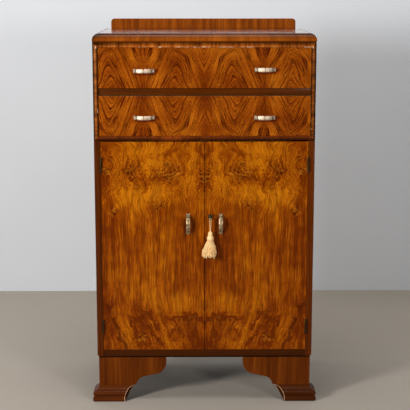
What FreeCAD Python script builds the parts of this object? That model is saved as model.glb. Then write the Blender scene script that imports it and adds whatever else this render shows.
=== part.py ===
import FreeCAD, Part
import os
from math import cos, degrees, pi, sqrt, tan

# A tallboy: two drawers over a cupboard with two doors, on ogee bracket feet.
# Millimetres. X runs to the viewer's right, Y to the back and Z up.
# Pieces are drawn with x = 0 in the middle, y = 0 at the face of the doors and z = 0 on the floor.
# At the end they all move along Y, so that the origin is in the middle between key and back.

# Carcase
carcase_width = 762.0
carcase_depth = 457.0
foot_height = 159.0
plinth_height = 6.0
side_thickness = 16.0
board_thickness = 15.0
back_thickness = 5.0
back_rebate = 8.0
fit_gap = 0.2
cut_margin = 1.0

# Front: heights from the feet upwards
bottom_rail_height = 23.5
bottom_rail_depth = 18.0
bottom_rail_setback = 2.0
door_gap_below = 1.0
door_height = 745.5
door_gap_above = 3.0
drawer_gap_below = 1.0
drawer_front_height = 137.5
lower_gap_above = 3.0
drawer_rail_height = 22.5
drawer_rail_depth = 50.0
drawer_rail_setback = 1.0
upper_gap_above = 1.0
frame_width = 16.0
quirk_height = 4.5

# Frame moulding round the drawers, which stands proud of the doors
frame_back = 4.0
frame_proud = 5.5
frame_crown = 3.6
frame_outer_fall = 2.0
quirk_setback = 1.0

# Top board and gallery
top_thickness = 26.5
top_lip = 3.0
top_overhang = 2.5
gallery_width = 692.0
gallery_rise = 37.0
gallery_thickness = 18.0
gallery_corner = 13.0

# Stiles beside the doors
stile_width = 22.0
stile_depth = 20.0
stile_corner = 7.0

# Inside the carcase
runner_width = 32.0
runner_height = 20.0
stop_length = 40.0
stop_width = 12.0
stop_height = 6.0
stop_gap = 0.3
stop_spread = 240.0
shelf_level = 560.0
shelf_setback = 36.0
bearer_width = 12.0
bearer_height = 22.0
door_stop_width = 12.0
door_stop_height = 12.0
door_stop_length = 600.0

# Bracket feet. The outline is given from the tip inwards, as distance and height.
foot_inset = 4.5
front_foot_reach = 240.0
side_foot_reach = 172.0
back_foot_reach = 110.0
bracket_thickness = 20.0
tip_drop = 138.0
ogee_swell = (11.0, 111.0)
ogee_end = (44.0, 95.5)
ogee_rise = (84.0, 86.0)
ogee_hollow = (99.0, 76.0)
ogee_cusp = (107.0, 58.0)
heel_hollow = (133.0, 46.5)
heel_end = (148.0, 6.0)
side_ogee_stretch = 0.85
back_foot_base = 60.0
block_width = 28.0
block_gap = 4.0

# Base moulding on the feet, as distance out of the foot's face and height
base_top = 56.0
base_cove_start = 1.5
base_cove_middle = (5.0, 50.0)
base_cove_end = (15.5, 47.5)
base_fillet = 17.2
base_torus_top = 45.0
base_torus_middle = (24.0, 32.0)
base_torus_end = (18.8, 18.0)
base_bead_middle = (24.4, 8.0)
base_bead_end = (20.5, 0.0)

# Drawers
drawer_side_gap = 0.7
drawer_front_thickness = 20.0
drawer_side_thickness = 10.0
drawer_back_thickness = 10.0
drawer_length = 436.0
drawer_side_height = 130.0
drawer_side_drop = 0.7
drawer_bottom_thickness = 5.0
drawer_bottom_rise = 12.0
drawer_groove = 5.0
drawer_back_drop = 6.0
dovetail_lap = 6.0
dovetail_slope = 1.0 / 7.0
tail_count = 3
tail_width = 24.0
back_tail_count = 3
back_tail_width = 20.0

# Doors
door_thickness = 20.0
meeting_gap = 2.0
hinge_gap = 1.0

# Hinges
hinge_height = 51.0
upper_hinge_drop = 55.0
lower_hinge_rise = 60.0
hinge_reach = 4.0
knuckle_radius = 3.4
knuckle_count = 5
knuckle_gap = 0.15
leaf_thickness = 1.3
leaf_gap = 0.2
leaf_width = 18.0
pin_radius = 1.25
pin_running_gap = 0.05
pin_head_radius = 2.4
pin_head_height = 1.3

# Bow handles
handle_length = 72.0
handle_width = 14.5
handle_reach = 21.0
handle_thickness = 4.5
handle_crown = 1.2
handle_groove = 0.9
rib_ends = ((62.0, 50.5), (48.0, 42.5), (40.0, -40.0), (-42.5, -48.0), (-50.5, -62.0))
handle_foot_radius = 4.0
handle_foot_height = 6.5
handle_screw_spacing = 63.0
handle_screw_radius = 1.6
handle_screw_depth = 5.0
screw_head_radius = 3.6
screw_head_height = 2.2
drawer_handle_spread = 414.0
upper_handle_rise = 58.5
upper_right_lift = 4.0
lower_handle_rise = 63.0
door_handle_inset = 57.0
door_handle_height = 646.0

# Lock in the right door and its key
key_inset = 20.0
key_height = 675.0
lock_depth = 11.5
lock_width = 40.0
lock_half_height = 20.0
lock_wall = 1.5
selvedge_half_height = 26.0
selvedge_thickness = 2.0
bolt_throw = 8.0
bolt_top = 1.0
bolt_height = 14.0
bolt_thickness = 5.0
bolt_length = 34.0
bolt_setback = 0.3
bolt_gap = 0.35
talon_lead = 3.0
talon_trail = 1.7
talon_step = 5.0
talon_floor = 8.6
talon_relief = 12.0
shank_radius = 2.5
shank_gap = 0.4
tip_radius = 1.9
tip_running_gap = 0.05
bit_thickness = 2.4
bit_length = 6.0
bit_setback = 3.0
bit_notch = 1.4
bow_radius = 8.5
bow_wire = 1.4
bow_distance = 18.0
collar_radius = 3.7
collar_length = 2.4
escutcheon_thickness = 1.5
escutcheon_rim = 2.0
strike_half_height = 15.0
strike_thickness = 2.0
strike_width = 12.0
mortise_depth = 10.0
mortise_gap = 0.5

# Tassel on the key
cord_radius = 1.0
cord_side_gap = 0.3
cord_top_gap = 0.6
cord_spread = ((0.0, 1.25), (0.22, 1.35), (0.46, 1.75), (0.68, 2.35))
cord_shoulder = 0.86
cord_bend_share = 0.45
tassel_head_top = 623.0
tassel_head_height = 15.0
tassel_head_radius = 8.0
tassel_head_flat = 3.2
tassel_head_middle = 8.25
tassel_neck_radius = 6.4
tassel_collar_height = 16.0
tassel_collar_radius = 12.0
tassel_collar_middle = 7.2
tassel_collar_foot = 10.8
tassel_skirt_height = 60.0
skirt_top_depth = 9.5
skirt_left = 19.4
skirt_right = 25.0
skirt_depth = 13.0
skirt_lip = 9.0

# Places worked out from the sizes
half_width = carcase_width / 2
inner_half = half_width - side_thickness
stile_inner = half_width - stile_width
carcase_bottom = foot_height + plinth_height
bottom_rail_top = carcase_bottom + bottom_rail_height
door_bottom = bottom_rail_top + door_gap_below
door_top = door_bottom + door_height
waist_bottom = door_top + door_gap_above
waist_top = waist_bottom + frame_width
lower_front_bottom = waist_top + drawer_gap_below
rail_bottom = lower_front_bottom + drawer_front_height + lower_gap_above
rail_top = rail_bottom + drawer_rail_height
upper_front_bottom = rail_top + drawer_gap_below
frame_inner_top = upper_front_bottom + drawer_front_height + upper_gap_above
frame_top = frame_inner_top + frame_width + quirk_height
top_level = frame_top + top_thickness
back_face = carcase_depth - back_thickness
foot_face = half_width - foot_inset
frame_front = -frame_proud
key_reach = bow_distance + bow_radius + bow_wire
row_shift = -(carcase_depth - key_reach) / 2
door_edge = meeting_gap / 2
door_outer = stile_inner - hinge_gap
pivot_x = door_outer + hinge_gap / 2
pivot_y = -hinge_reach
bit_radius = bolt_throw
lock_front = door_thickness - lock_depth
hinge_bottoms = (
    door_bottom + lower_hinge_rise,
    door_top - upper_hinge_drop - hinge_height,
)


# Shape helpers


def vec(x, y, z):
    return FreeCAD.Vector(x, y, z)


def box(x0, x1, y0, y1, z0, z1):
    return Part.makeBox(x1 - x0, y1 - y0, z1 - z0, vec(x0, y0, z0))


def rod(radius, start, end):
    return Part.makeCylinder(radius, (end - start).Length, start, end - start)


def fused(shapes):
    shapes = list(shapes)
    return shapes[0].fuse(shapes[1:]).removeSplitter() if len(shapes) > 1 else shapes[0]


def mirrored(shape):
    """The same piece on the other side of the middle plane x = 0."""
    return shape.mirror(vec(0, 0, 0), vec(1, 0, 0))


def outline_face(steps, place):
    """A flat face from (a, b) points. A step of two points is an arc through the first to the second."""
    start = here = place(*steps[0])
    edges = []
    for step in steps[1:] + [steps[0]]:
        if isinstance(step[0], tuple):
            middle, end = place(*step[0]), place(*step[1])
            edges.append(Part.Arc(here, middle, end).toShape())
        else:
            end = place(*step)
            if end.distanceToPoint(here) < 1e-6:
                continue
            edges.append(Part.makeLine(here, end))
        here = end
    return Part.Face(Part.Wire(edges))


def in_front(y):
    return lambda a, b: vec(a, y, b)


def from_side(x):
    return lambda a, b: vec(x, a, b)


def from_above(z):
    return lambda a, b: vec(a, b, z)


def save(name, *shapes):
    """Writes one node's solids, moved to the row's place."""
    solids = [solid for shape in shapes for solid in shape.Solids]
    piece = solids[0] if len(solids) == 1 else Part.makeCompound(solids)
    piece = piece.copy()
    piece.translate(vec(0, row_shift, 0))
    piece.exportStep("parts/" + name + ".step")
    print(name, len(solids), round(piece.Volume / 1000, 2), "cm3")


# Carcase boards


def side_panel():
    """The left side, notched in front for the stile and the waist, rebated for the back."""
    panel = box(-half_width, -inner_half, frame_back, carcase_depth, carcase_bottom, frame_top)
    stile_notch = box(-half_width, -inner_half, 0, stile_depth, carcase_bottom, waist_bottom)
    rebate = box(
        -inner_half - back_rebate, -inner_half, back_face, carcase_depth, carcase_bottom, frame_top
    )
    return panel.cut(stile_notch).cut(rebate)


def top_board():
    """The top, with a quarter round along the front and both ends over a narrow lip."""
    reach = half_width + top_overhang
    front = frame_front - top_overhang
    board = box(-reach, reach, front, carcase_depth, frame_top, top_level)
    round_radius = top_thickness - top_lip
    edges = [
        edge
        for edge in board.Edges
        if abs(edge.CenterOfMass.z - top_level) < 1e-6
        and edge.CenterOfMass.y < carcase_depth - 1e-6
    ]
    return board.makeFillet(round_radius, edges)


def back_gallery():
    """The upright board along the back of the top, with rounded upper corners."""
    half = gallery_width / 2
    top = top_level + gallery_rise
    bevel = gallery_corner * (1 - sqrt(0.5))
    face = outline_face(
        [
            (-half, top_level),
            (-half, top - gallery_corner),
            ((-half + bevel, top - bevel), (-half + gallery_corner, top)),
            (half - gallery_corner, top),
            ((half - bevel, top - bevel), (half, top - gallery_corner)),
            (half, top_level),
        ],
        in_front(carcase_depth - gallery_thickness),
    )
    return face.extrude(vec(0, gallery_thickness, 0))


def between_sides(y0, y1, z0, z1):
    return box(-inner_half, inner_half, y0, y1, z0, z1)


def frame_profile(across, place):
    """The frame's section: a sharp inner arris in front, swelling down to the outer corner."""
    inner, outer = across
    middle = (inner + outer) / 2
    return outline_face(
        [
            (inner, frame_back),
            (inner, frame_front),
            ((middle, frame_front + frame_crown - frame_outer_fall), (outer, frame_outer_fall)),
            (outer, frame_back),
        ],
        place,
    )


def across_depth(a, b):
    return vec(-half_width, b, a)


def mitre_wedge(inner_level, outer_level, from_upright):
    """What the mitre at a left corner of the frame takes from the upright, or from the rail."""
    past = outer_level - inner_level
    inner = (-inner_half + frame_width, inner_level - past)
    outer = (-half_width - frame_width, outer_level + past)
    corner = (inner[0], outer[1]) if from_upright else (outer[0], inner[1])
    face = outline_face([inner, outer, corner], in_front(frame_front - cut_margin))
    return face.extrude(vec(0, frame_proud + frame_back + 2 * cut_margin, 0))


def frame_side():
    """The left upright of the frame, mitred at both ends."""
    face = frame_profile((-inner_half, -half_width), from_above(waist_bottom))
    upright = face.extrude(vec(0, 0, frame_inner_top + frame_width - waist_bottom))
    above = mitre_wedge(frame_inner_top, frame_inner_top + frame_width, True)
    below = mitre_wedge(waist_top, waist_bottom, True)
    return upright.cut(above).cut(below)


def frame_rail(inner_level, outer_level):
    """A rail of the frame across the full width, mitred to both uprights."""
    face = frame_profile((inner_level, outer_level), across_depth)
    rail = face.extrude(vec(carcase_width, 0, 0))
    wedge = mitre_wedge(inner_level, outer_level, False)
    return rail.cut(wedge).cut(mirrored(wedge))


def frame_head():
    """The frame's top rail, with a flat quirk strip above it."""
    rail = frame_rail(frame_inner_top, frame_inner_top + frame_width)
    quirk = box(
        -half_width, half_width, quirk_setback, frame_back, frame_top - quirk_height, frame_top
    )
    return fused([rail, quirk])


def stile():
    """The left stile, its lower outer corner rounded and its edge recessed for the hinges."""
    bevel = stile_corner * (1 - sqrt(0.5))
    face = outline_face(
        [
            (-stile_inner, carcase_bottom),
            (-stile_inner, waist_bottom),
            (-half_width, waist_bottom),
            (-half_width, carcase_bottom + stile_corner),
            (
                (-half_width + bevel, carcase_bottom + bevel),
                (-half_width + stile_corner, carcase_bottom),
            ),
        ],
        in_front(0),
    )
    return face.extrude(vec(0, stile_depth, 0)).cut(hinge_recesses(-1))


def bottom_board(front):
    """The cupboard's floor. Its lower part runs out under the sides and stands on the feet."""
    upper = between_sides(front, back_face, carcase_bottom, carcase_bottom + board_thickness)
    plinth = box(-foot_face, foot_face, foot_inset, carcase_depth, foot_height, carcase_bottom)
    return fused([upper, plinth])


def shelf():
    return box(
        -inner_half + fit_gap,
        inner_half - fit_gap,
        shelf_setback,
        back_face - fit_gap,
        shelf_level,
        shelf_level + board_thickness,
    )


def bearers():
    """Two strips on the sides that carry the shelf."""
    left = box(
        -inner_half,
        -inner_half + bearer_width,
        shelf_setback,
        back_face,
        shelf_level - bearer_height,
        shelf_level,
    )
    return [left, mirrored(left)]


def runners_and_kickers():
    """Strips on the sides: two that carry the upper drawer, two above that keep it from tipping."""
    runner = box(
        -inner_half,
        -inner_half + runner_width,
        drawer_rail_setback + drawer_rail_depth,
        back_face,
        rail_top - runner_height,
        rail_top,
    )
    kicker = box(
        -inner_half,
        -inner_half + runner_width,
        frame_back + drawer_rail_depth,
        back_face,
        frame_inner_top,
        frame_top,
    )
    return [runner, mirrored(runner), kicker, mirrored(kicker)]


def drawer_stops():
    """Small blocks behind each drawer front, two to a drawer."""
    blocks = []
    for level in (waist_top, rail_top):
        for side in (-1, 1):
            middle = side * stop_spread / 2
            blocks.append(
                box(
                    middle - stop_length / 2,
                    middle + stop_length / 2,
                    drawer_front_thickness + stop_gap,
                    drawer_front_thickness + stop_gap + stop_width,
                    level,
                    level + stop_height,
                )
            )
    return blocks


def door_stops():
    """Strips behind the doors, one under the cupboard's top and one on its floor."""
    half = door_stop_length / 2
    front = door_thickness + stop_gap
    floor = carcase_bottom + board_thickness
    upper = box(
        -half, half, front, front + door_stop_width, waist_bottom - door_stop_height, waist_bottom
    )
    lower = box(
        -half, half, front, front + door_stop_width, floor, door_bottom + door_stop_height
    )
    return [upper, lower]


# Bracket feet


def bracket_outline(reach, stretch):
    """The ogee outline of one bracket, from its corner at 0 to its tip at reach."""

    def inwards(point):
        return (reach - point[0] * stretch, point[1])

    return [
        (0, 0),
        (0, foot_height),
        (reach, foot_height),
        (reach, tip_drop),
        (inwards(ogee_swell), inwards(ogee_end)),
        inwards(ogee_rise),
        (inwards(ogee_hollow), inwards(ogee_cusp)),
        (inwards(heel_hollow), inwards(heel_end)),
        (reach - heel_end[0] * stretch, 0),
    ]


def base_profile(place):
    """Section of the base moulding: cove, fillet, torus and bead."""
    return outline_face(
        [
            (0, 0),
            (0, base_top),
            (base_cove_start, base_top),
            (base_cove_middle, base_cove_end),
            (base_fillet, base_cove_end[1]),
            (base_fillet, base_torus_top),
            (base_torus_middle, base_torus_end),
            (base_bead_middle, base_bead_end),
        ],
        place,
    )


def corner_cut(corner_x, corner_y, depth_sign):
    """What lies behind a vertical plane at 45 degrees through a foot's outer corner."""
    size = front_foot_reach * 2
    face = outline_face(
        [
            (corner_x - size, corner_y - depth_sign * size),
            (corner_x + size, corner_y + depth_sign * size),
            (corner_x - size, corner_y + depth_sign * size),
        ],
        from_above(-cut_margin),
    )
    return face.extrude(vec(0, 0, foot_height + 2 * cut_margin))


def front_bracket():
    """The left front bracket, mitred to the side bracket, and the moulding along its foot."""
    place = in_front(foot_inset)
    face = outline_face(
        bracket_outline(front_foot_reach, 1.0), lambda a, b: place(a - foot_face, b)
    )
    cutter = corner_cut(-foot_face, foot_inset, 1)
    board = face.extrude(vec(0, bracket_thickness, 0)).cut(cutter)
    reach = base_bead_middle[0] + cut_margin
    swept = base_profile(lambda a, b: vec(-foot_face - reach, foot_inset - a, b)).extrude(
        vec(front_foot_reach + reach, 0, 0)
    )
    left_block = box(
        -foot_face - reach, -foot_face, foot_inset - reach, foot_inset, -cut_margin, foot_height
    )
    sawn = face.extrude(vec(0, -reach, 0)).fuse(left_block)
    return board, swept.common(sawn).cut(cutter)


def side_bracket(corner_y, direction):
    """A left side bracket from a corner, running back (1) or forwards (-1), and its moulding."""
    face = outline_face(
        bracket_outline(side_foot_reach, side_ogee_stretch),
        lambda a, b: vec(-foot_face, corner_y + direction * a, b),
    )
    board = face.extrude(vec(bracket_thickness, 0, 0))
    reach = base_bead_middle[0] + cut_margin
    start = corner_y - direction * reach
    swept = base_profile(lambda a, b: vec(-foot_face - a, start, b)).extrude(
        vec(0, direction * (side_foot_reach + reach), 0)
    )
    sawn = face.extrude(vec(-reach, 0, 0))
    if direction > 0:
        corner_block = box(
            -foot_face - reach, -foot_face, start, corner_y, -cut_margin, foot_height
        )
        cutter = corner_cut(-foot_face, corner_y, 1)
        return board.common(cutter), swept.common(sawn.fuse(corner_block)).common(cutter)
    return board, swept.common(sawn)


def back_bracket():
    """The plain board across the back of a left back foot, butted to the side bracket."""
    corner = -foot_face + bracket_thickness
    back = carcase_depth
    face = outline_face(
        [
            (corner, 0),
            (corner, foot_height),
            (-foot_face + back_foot_reach, foot_height),
            (-foot_face + back_foot_reach, tip_drop),
            (-foot_face + back_foot_base, 0),
        ],
        in_front(back - bracket_thickness),
    )
    return face.extrude(vec(0, bracket_thickness, 0))


def foot_blocks():
    """Square glue blocks in the corners of the four feet."""
    x0 = -foot_face + bracket_thickness
    front = foot_inset + bracket_thickness
    back = carcase_depth - bracket_thickness - block_width
    left = [
        box(x0, x0 + block_width, y, y + block_width, block_gap, foot_height)
        for y in (front, back)
    ]
    return left + [mirrored(block) for block in left]


# Drawers


def tails(count, width, low, high, x0, x1, tip_y, root_y):
    """Dovetails across one board's thickness, widest at tip_y, evenly spaced in height."""
    pitch = (high - low) / count
    spread = abs(tip_y - root_y) * dovetail_slope
    found = []
    for index in range(count):
        middle = low + pitch * (index + 0.5)
        face = outline_face(
            [
                (root_y, middle - width / 2),
                (root_y, middle + width / 2),
                (tip_y, middle + width / 2 + spread),
                (tip_y, middle - width / 2 - spread),
            ],
            from_side(x0),
        )
        found.append(face.extrude(vec(x1 - x0, 0, 0)))
    return found


def drawer(bottom):
    """Front, left side, right side, back and bottom of one drawer whose front starts at bottom."""
    half = inner_half - drawer_side_gap
    inner = half - drawer_side_thickness
    side_low = bottom - drawer_side_drop
    side_high = side_low + drawer_side_height
    floor_low = bottom + drawer_bottom_rise
    floor_high = floor_low + drawer_bottom_thickness
    back_low = floor_high
    back_high = side_high - drawer_back_drop
    back_end = drawer_length
    back_start = back_end - drawer_back_thickness

    front_tails = tails(
        tail_count, tail_width, bottom, side_high, -half, -inner, dovetail_lap, drawer_front_thickness
    )
    back_tails = tails(
        back_tail_count, back_tail_width, back_low, back_high, -half, -inner, back_end, back_start
    )
    groove = box(
        -inner - drawer_groove,
        inner + drawer_groove,
        drawer_front_thickness - drawer_groove,
        back_end,
        floor_low,
        floor_high,
    )

    front = box(-half, half, 0, drawer_front_thickness, bottom, bottom + drawer_front_height)
    front = front.cut(front_tails + [mirrored(tail) for tail in front_tails])
    back = box(-half, half, back_start, back_end, back_low, back_high)
    back = back.cut(back_tails + [mirrored(tail) for tail in back_tails])

    side = box(-half, -inner, drawer_front_thickness, back_end, side_low, side_high)
    side = fused([side] + front_tails).cut(back).cut(groove)
    front = front.cut(groove)
    floor = box(
        -inner - drawer_groove + fit_gap,
        inner + drawer_groove - fit_gap,
        drawer_front_thickness - drawer_groove + fit_gap,
        back_end,
        floor_low,
        floor_high,
    )
    return front, side, mirrored(side), back, floor


# Bow handles


def handle_section(outer_radius, inner_radius, width):
    """Section of the bow: flat inside, crowned outside, in the plane x = 0."""
    half = width / 2
    return outline_face(
        [
            (-inner_radius, -half),
            (-outer_radius + handle_crown, -half),
            ((-outer_radius, 0), (-outer_radius + handle_crown, half)),
            (-inner_radius, half),
        ],
        from_side(0),
    )


def bow_handle():
    """A handle lying along X on the plane y = 0, bowed to the front and ribbed at both ends."""
    half = handle_length / 2
    outer = (half * half + handle_reach * handle_reach) / (2 * handle_reach)
    centre_y = outer - handle_reach
    inner = outer - handle_thickness
    core = handle_section(outer - handle_groove, inner, handle_width - 2 * handle_groove)
    axis = vec(0, 0, 1)
    sweep = rib_ends[0][0]
    core.rotate(vec(0, 0, 0), axis, -sweep)
    parts = [core.revolve(vec(0, 0, 0), axis, 2 * sweep)]
    for start, end in rib_ends:
        section = handle_section(outer, inner, handle_width)
        section.rotate(vec(0, 0, 0), axis, end)
        parts.append(section.revolve(vec(0, 0, 0), axis, start - end))
    bow = parts[0].fuse(parts[1:])
    bow.translate(vec(0, centre_y, 0))
    wall = box(-handle_length, handle_length, 0, outer, -handle_width, handle_width)
    bow = bow.cut(wall)
    for side in (-1, 1):
        middle = side * handle_screw_spacing / 2
        bow = bow.fuse(rod(handle_foot_radius, vec(middle, 0, 0), vec(middle, -handle_foot_height, 0)))
    bow = bow.removeSplitter()
    for side in (-1, 1):
        middle = side * handle_screw_spacing / 2
        bow = bow.cut(rod(handle_screw_radius, vec(middle, 0, 0), vec(middle, -handle_screw_depth, 0)))
    return bow


def handle_screws(board):
    """Two screws from the back of a board of that thickness into the feet of a handle."""
    screws = []
    for side in (-1, 1):
        middle = side * handle_screw_spacing / 2
        shank = rod(handle_screw_radius, vec(middle, -handle_screw_depth, 0), vec(middle, board, 0))
        head = rod(
            screw_head_radius, vec(middle, board, 0), vec(middle, board + screw_head_height, 0)
        )
        screws.append(shank.fuse(head).removeSplitter())
    return screws


def screw_holes(board):
    return [
        rod(
            handle_screw_radius,
            vec(side * handle_screw_spacing / 2, 0, 0),
            vec(side * handle_screw_spacing / 2, board, 0),
        )
        for side in (-1, 1)
    ]


def set_at(shapes, x, z, upright=False):
    """Copies of pieces drawn at the origin, moved to a place on the front."""
    placed = []
    for shape in shapes:
        piece = shape.copy()
        if upright:
            piece.rotate(vec(0, 0, 0), vec(0, 1, 0), 90)
        piece.translate(vec(x, 0, z))
        placed.append(piece)
    return placed


# Doors and hinges


def hinge_recesses(side):
    """Recesses for the leaves of both hinges in the stile and the door of one side."""
    depth = leaf_thickness - (hinge_gap - leaf_gap) / 2
    found = []
    for low in hinge_bottoms:
        x0 = side * (door_outer - depth)
        x1 = side * (stile_inner + depth)
        found.append(box(min(x0, x1), max(x0, x1), 0, leaf_width, low, low + hinge_height))
    return found


def door_panel(side):
    inner, outer = sorted((side * door_edge, side * door_outer))
    panel = box(inner, outer, 0, door_thickness, door_bottom, door_top)
    return panel.cut(hinge_recesses(side))


def hinge_leaf(side, low, on_door):
    """One leaf with its knuckles. The door's leaf has the even ones of five, the stile's the rest."""
    step = hinge_height / knuckle_count
    hand = -side if on_door else side
    near = side * pivot_x + hand * leaf_gap / 2
    far = near + hand * leaf_thickness
    x0, x1 = min(near, far), max(near, far)
    leaf = [box(x0, x1, 0, leaf_width, low, low + hinge_height)]
    gap = knuckle_gap / 2
    bore = pin_radius + (pin_running_gap if on_door else 0)
    for index in range(1 if on_door else 0, knuckle_count, 2):
        z0 = low + index * step + (gap if index else 0)
        z1 = low + (index + 1) * step - (gap if index < knuckle_count - 1 else 0)
        centre = vec(side * pivot_x, pivot_y, z0)
        leaf.append(box(x0, x1, pivot_y, 0, z0, z1))
        leaf.append(Part.makeCylinder(knuckle_radius, z1 - z0, centre))
    hole = Part.makeCylinder(bore, hinge_height, vec(side * pivot_x, pivot_y, low))
    return fused(leaf).cut(hole)


def hinge_pin(side, low):
    centre = vec(side * pivot_x, pivot_y, low)
    pin = Part.makeCylinder(pin_radius, hinge_height, centre)
    upper = Part.makeCone(
        pin_head_radius, pin_head_radius / 2, pin_head_height, centre + vec(0, 0, hinge_height)
    )
    lower = Part.makeCone(
        pin_head_radius, pin_head_radius / 2, pin_head_height, centre, vec(0, 0, -1)
    )
    return fused([pin, upper, lower])


# Lock, key and strike


def keyhole(gap, front, back):
    """The keyhole's own shape between two depths: a round eye over a slot for the bit."""
    eye = rod(shank_radius + gap, vec(key_inset, front, key_height), vec(key_inset, back, key_height))
    half = bit_thickness / 2 + gap
    slot = box(
        key_inset - half, key_inset + half, front, back, key_height - bit_radius - gap, key_height
    )
    return fused([eye, slot])


def lock_space():
    """The room that the lock fills in the right door."""
    body = box(
        door_edge,
        door_edge + lock_width,
        lock_front,
        door_thickness,
        key_height - lock_half_height,
        key_height + lock_half_height,
    )
    edge = box(
        door_edge,
        door_edge + selvedge_thickness,
        lock_front,
        door_thickness,
        key_height - selvedge_half_height,
        key_height + selvedge_half_height,
    )
    return fused([body, edge])


def bolt_channel(gap):
    """Cross-section that the bolt runs through, wide enough by gap all round."""
    middle = (lock_front + door_thickness) / 2
    return (
        middle - bolt_thickness / 2 - gap,
        middle + bolt_thickness / 2 + gap,
        key_height - bolt_top - bolt_height - gap,
        key_height - bolt_top + gap,
    )


def lock_case():
    """The cut lock: a thin box with an edge plate, open for the bolt and the key."""
    hollow = box(
        door_edge + selvedge_thickness,
        door_edge + lock_width - lock_wall,
        lock_front + lock_wall,
        door_thickness - lock_wall,
        key_height - lock_half_height + lock_wall,
        key_height + lock_half_height - lock_wall,
    )
    y0, y1, z0, z1 = bolt_channel(bolt_gap)
    channel = box(door_edge, door_edge + selvedge_thickness, y0, y1, z0, z1)
    key_way = keyhole(shank_gap, lock_front, lock_front + lock_wall)
    tip_hole = rod(
        tip_radius + tip_running_gap,
        vec(key_inset, door_thickness - lock_wall, key_height),
        vec(key_inset, door_thickness, key_height),
    )
    return lock_space().cut([hollow, channel, key_way, tip_hole])


def lock_bolt():
    """The bolt, withdrawn, with the talon that the bit of the key works in."""
    y0, y1, z0, z1 = bolt_channel(0)
    start = door_edge + bolt_setback
    bar = box(start, start + bolt_length, y0, y1, z0, z1)
    shallow = box(
        key_inset - talon_lead, key_inset + talon_relief, y0, y1, key_height - talon_step, z1
    )
    deep = box(
        key_inset - talon_lead,
        key_inset + talon_trail,
        y0,
        y1,
        key_height - talon_floor,
        key_height - talon_step,
    )
    return bar.cut([shallow, deep])


def key():
    """The key: a ring bow, a collar, the shank and a notched bit that hangs down at rest."""
    tip = door_thickness
    bit_end = tip - lock_wall - (bit_setback - lock_wall) / 2
    bit_start = bit_end - bit_length
    bow_back = -bow_distance + bow_radius
    shank = rod(shank_radius, vec(key_inset, bow_back, key_height), vec(key_inset, bit_end, key_height))
    journal = rod(tip_radius, vec(key_inset, bit_end, key_height), vec(key_inset, tip, key_height))
    collar = rod(
        collar_radius,
        vec(key_inset, bow_back + bow_wire, key_height),
        vec(key_inset, bow_back + bow_wire + collar_length, key_height),
    )
    bow = Part.makeTorus(
        bow_radius, bow_wire, vec(key_inset, -bow_distance, key_height), vec(1, 0, 0)
    )
    half = bit_thickness / 2
    bit = box(
        key_inset - half, key_inset + half, bit_start, bit_end, key_height - bit_radius, key_height
    )
    middle = (bit_start + bit_end) / 2
    notch = box(
        key_inset - half,
        key_inset + half,
        middle - bit_notch / 2,
        middle + bit_notch / 2,
        key_height - bit_radius,
        key_height - bit_radius + 2 * bit_notch,
    )
    return fused([shank, journal, collar, bow, bit.cut(notch)])


def escutcheon():
    """A thin keyhole frame let in flush with the face of the right door."""
    rim = keyhole(shank_gap + escutcheon_rim, 0, escutcheon_thickness)
    return rim.cut(keyhole(shank_gap, 0, escutcheon_thickness))


def strike_plate():
    """The plate in the left door's edge that the bolt shoots into."""
    y0, y1, z0, z1 = bolt_channel(mortise_gap)
    middle_y, middle_z = (y0 + y1) / 2, (z0 + z1) / 2
    plate = box(
        -door_edge - strike_thickness,
        -door_edge,
        middle_y - strike_width / 2,
        middle_y + strike_width / 2,
        middle_z - strike_half_height,
        middle_z + strike_half_height,
    )
    return plate, box(-door_edge - mortise_depth, -door_edge, y0, y1, z0, z1)


# Tassel


def cord_route():
    """The cord's corners: up one side of the bow's lowest wire, over it and down again."""
    wire_z = key_height - bow_radius
    over = wire_z + bow_wire + cord_radius + cord_top_gap
    bend = bow_wire + cord_radius + cord_side_gap
    top = tassel_head_top
    span = over - top
    rise = [(-x, share * span) for share, x in cord_spread]
    rise += [(-bend, cord_shoulder * span), (-bend, span)]
    points = rise + [(-x, z) for x, z in reversed(rise)]
    return [vec(key_inset + x, -bow_distance, top + z) for x, z in points]


def cord_tube(points, radius):
    """Straight runs joined by tangent arcs, each as large as its two runs allow."""
    edges = []
    here = points[0]
    for before, corner, after in zip(points, points[1:], points[2:]):
        entry, leave = (before - corner), (after - corner)
        shorter = min(entry.Length, leave.Length)
        turn = pi - entry.getAngle(leave)
        cut = cord_bend_share * shorter
        bend = cut / tan(turn / 2)
        print("cord bend", round(degrees(turn), 1), "degrees, radius", round(bend, 2))
        start = corner + entry.normalize() * cut
        end = corner + leave.normalize() * cut
        inward = (start + end) * 0.5 - corner
        depth = bend / cos(turn / 2) - bend
        middle = corner + inward.normalize() * depth
        edges.append(Part.makeLine(here, start))
        edges.append(Part.Arc(start, middle, end).toShape())
        here = end
    edges.append(Part.makeLine(here, points[-1]))
    path = Part.Wire(edges)
    ring = Part.Wire(Part.makeCircle(radius, points[0], points[1] - points[0]))
    tube = path.makePipeShell([ring], True, False)
    print("cord length", round(path.Length, 1), "volume", round(tube.Volume, 1),
          "section times length", round(pi * radius * radius * path.Length, 1))
    return tube


def tassel_head():
    """The covered mould: a small knob over a wider one."""
    waist_z = tassel_head_top - tassel_head_height
    low = waist_z - tassel_collar_height
    face = outline_face(
        [
            (0, tassel_head_top),
            (tassel_head_flat, tassel_head_top),
            (
                (tassel_head_radius, tassel_head_top - tassel_head_middle),
                (tassel_neck_radius, waist_z),
            ),
            (
                (tassel_collar_radius, waist_z - tassel_collar_middle),
                (tassel_collar_foot, low),
            ),
            (0, low),
        ],
        lambda a, b: vec(key_inset + a, -bow_distance, b),
    )
    return face.revolve(vec(key_inset, -bow_distance, 0), vec(0, 0, 1), 360)


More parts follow.
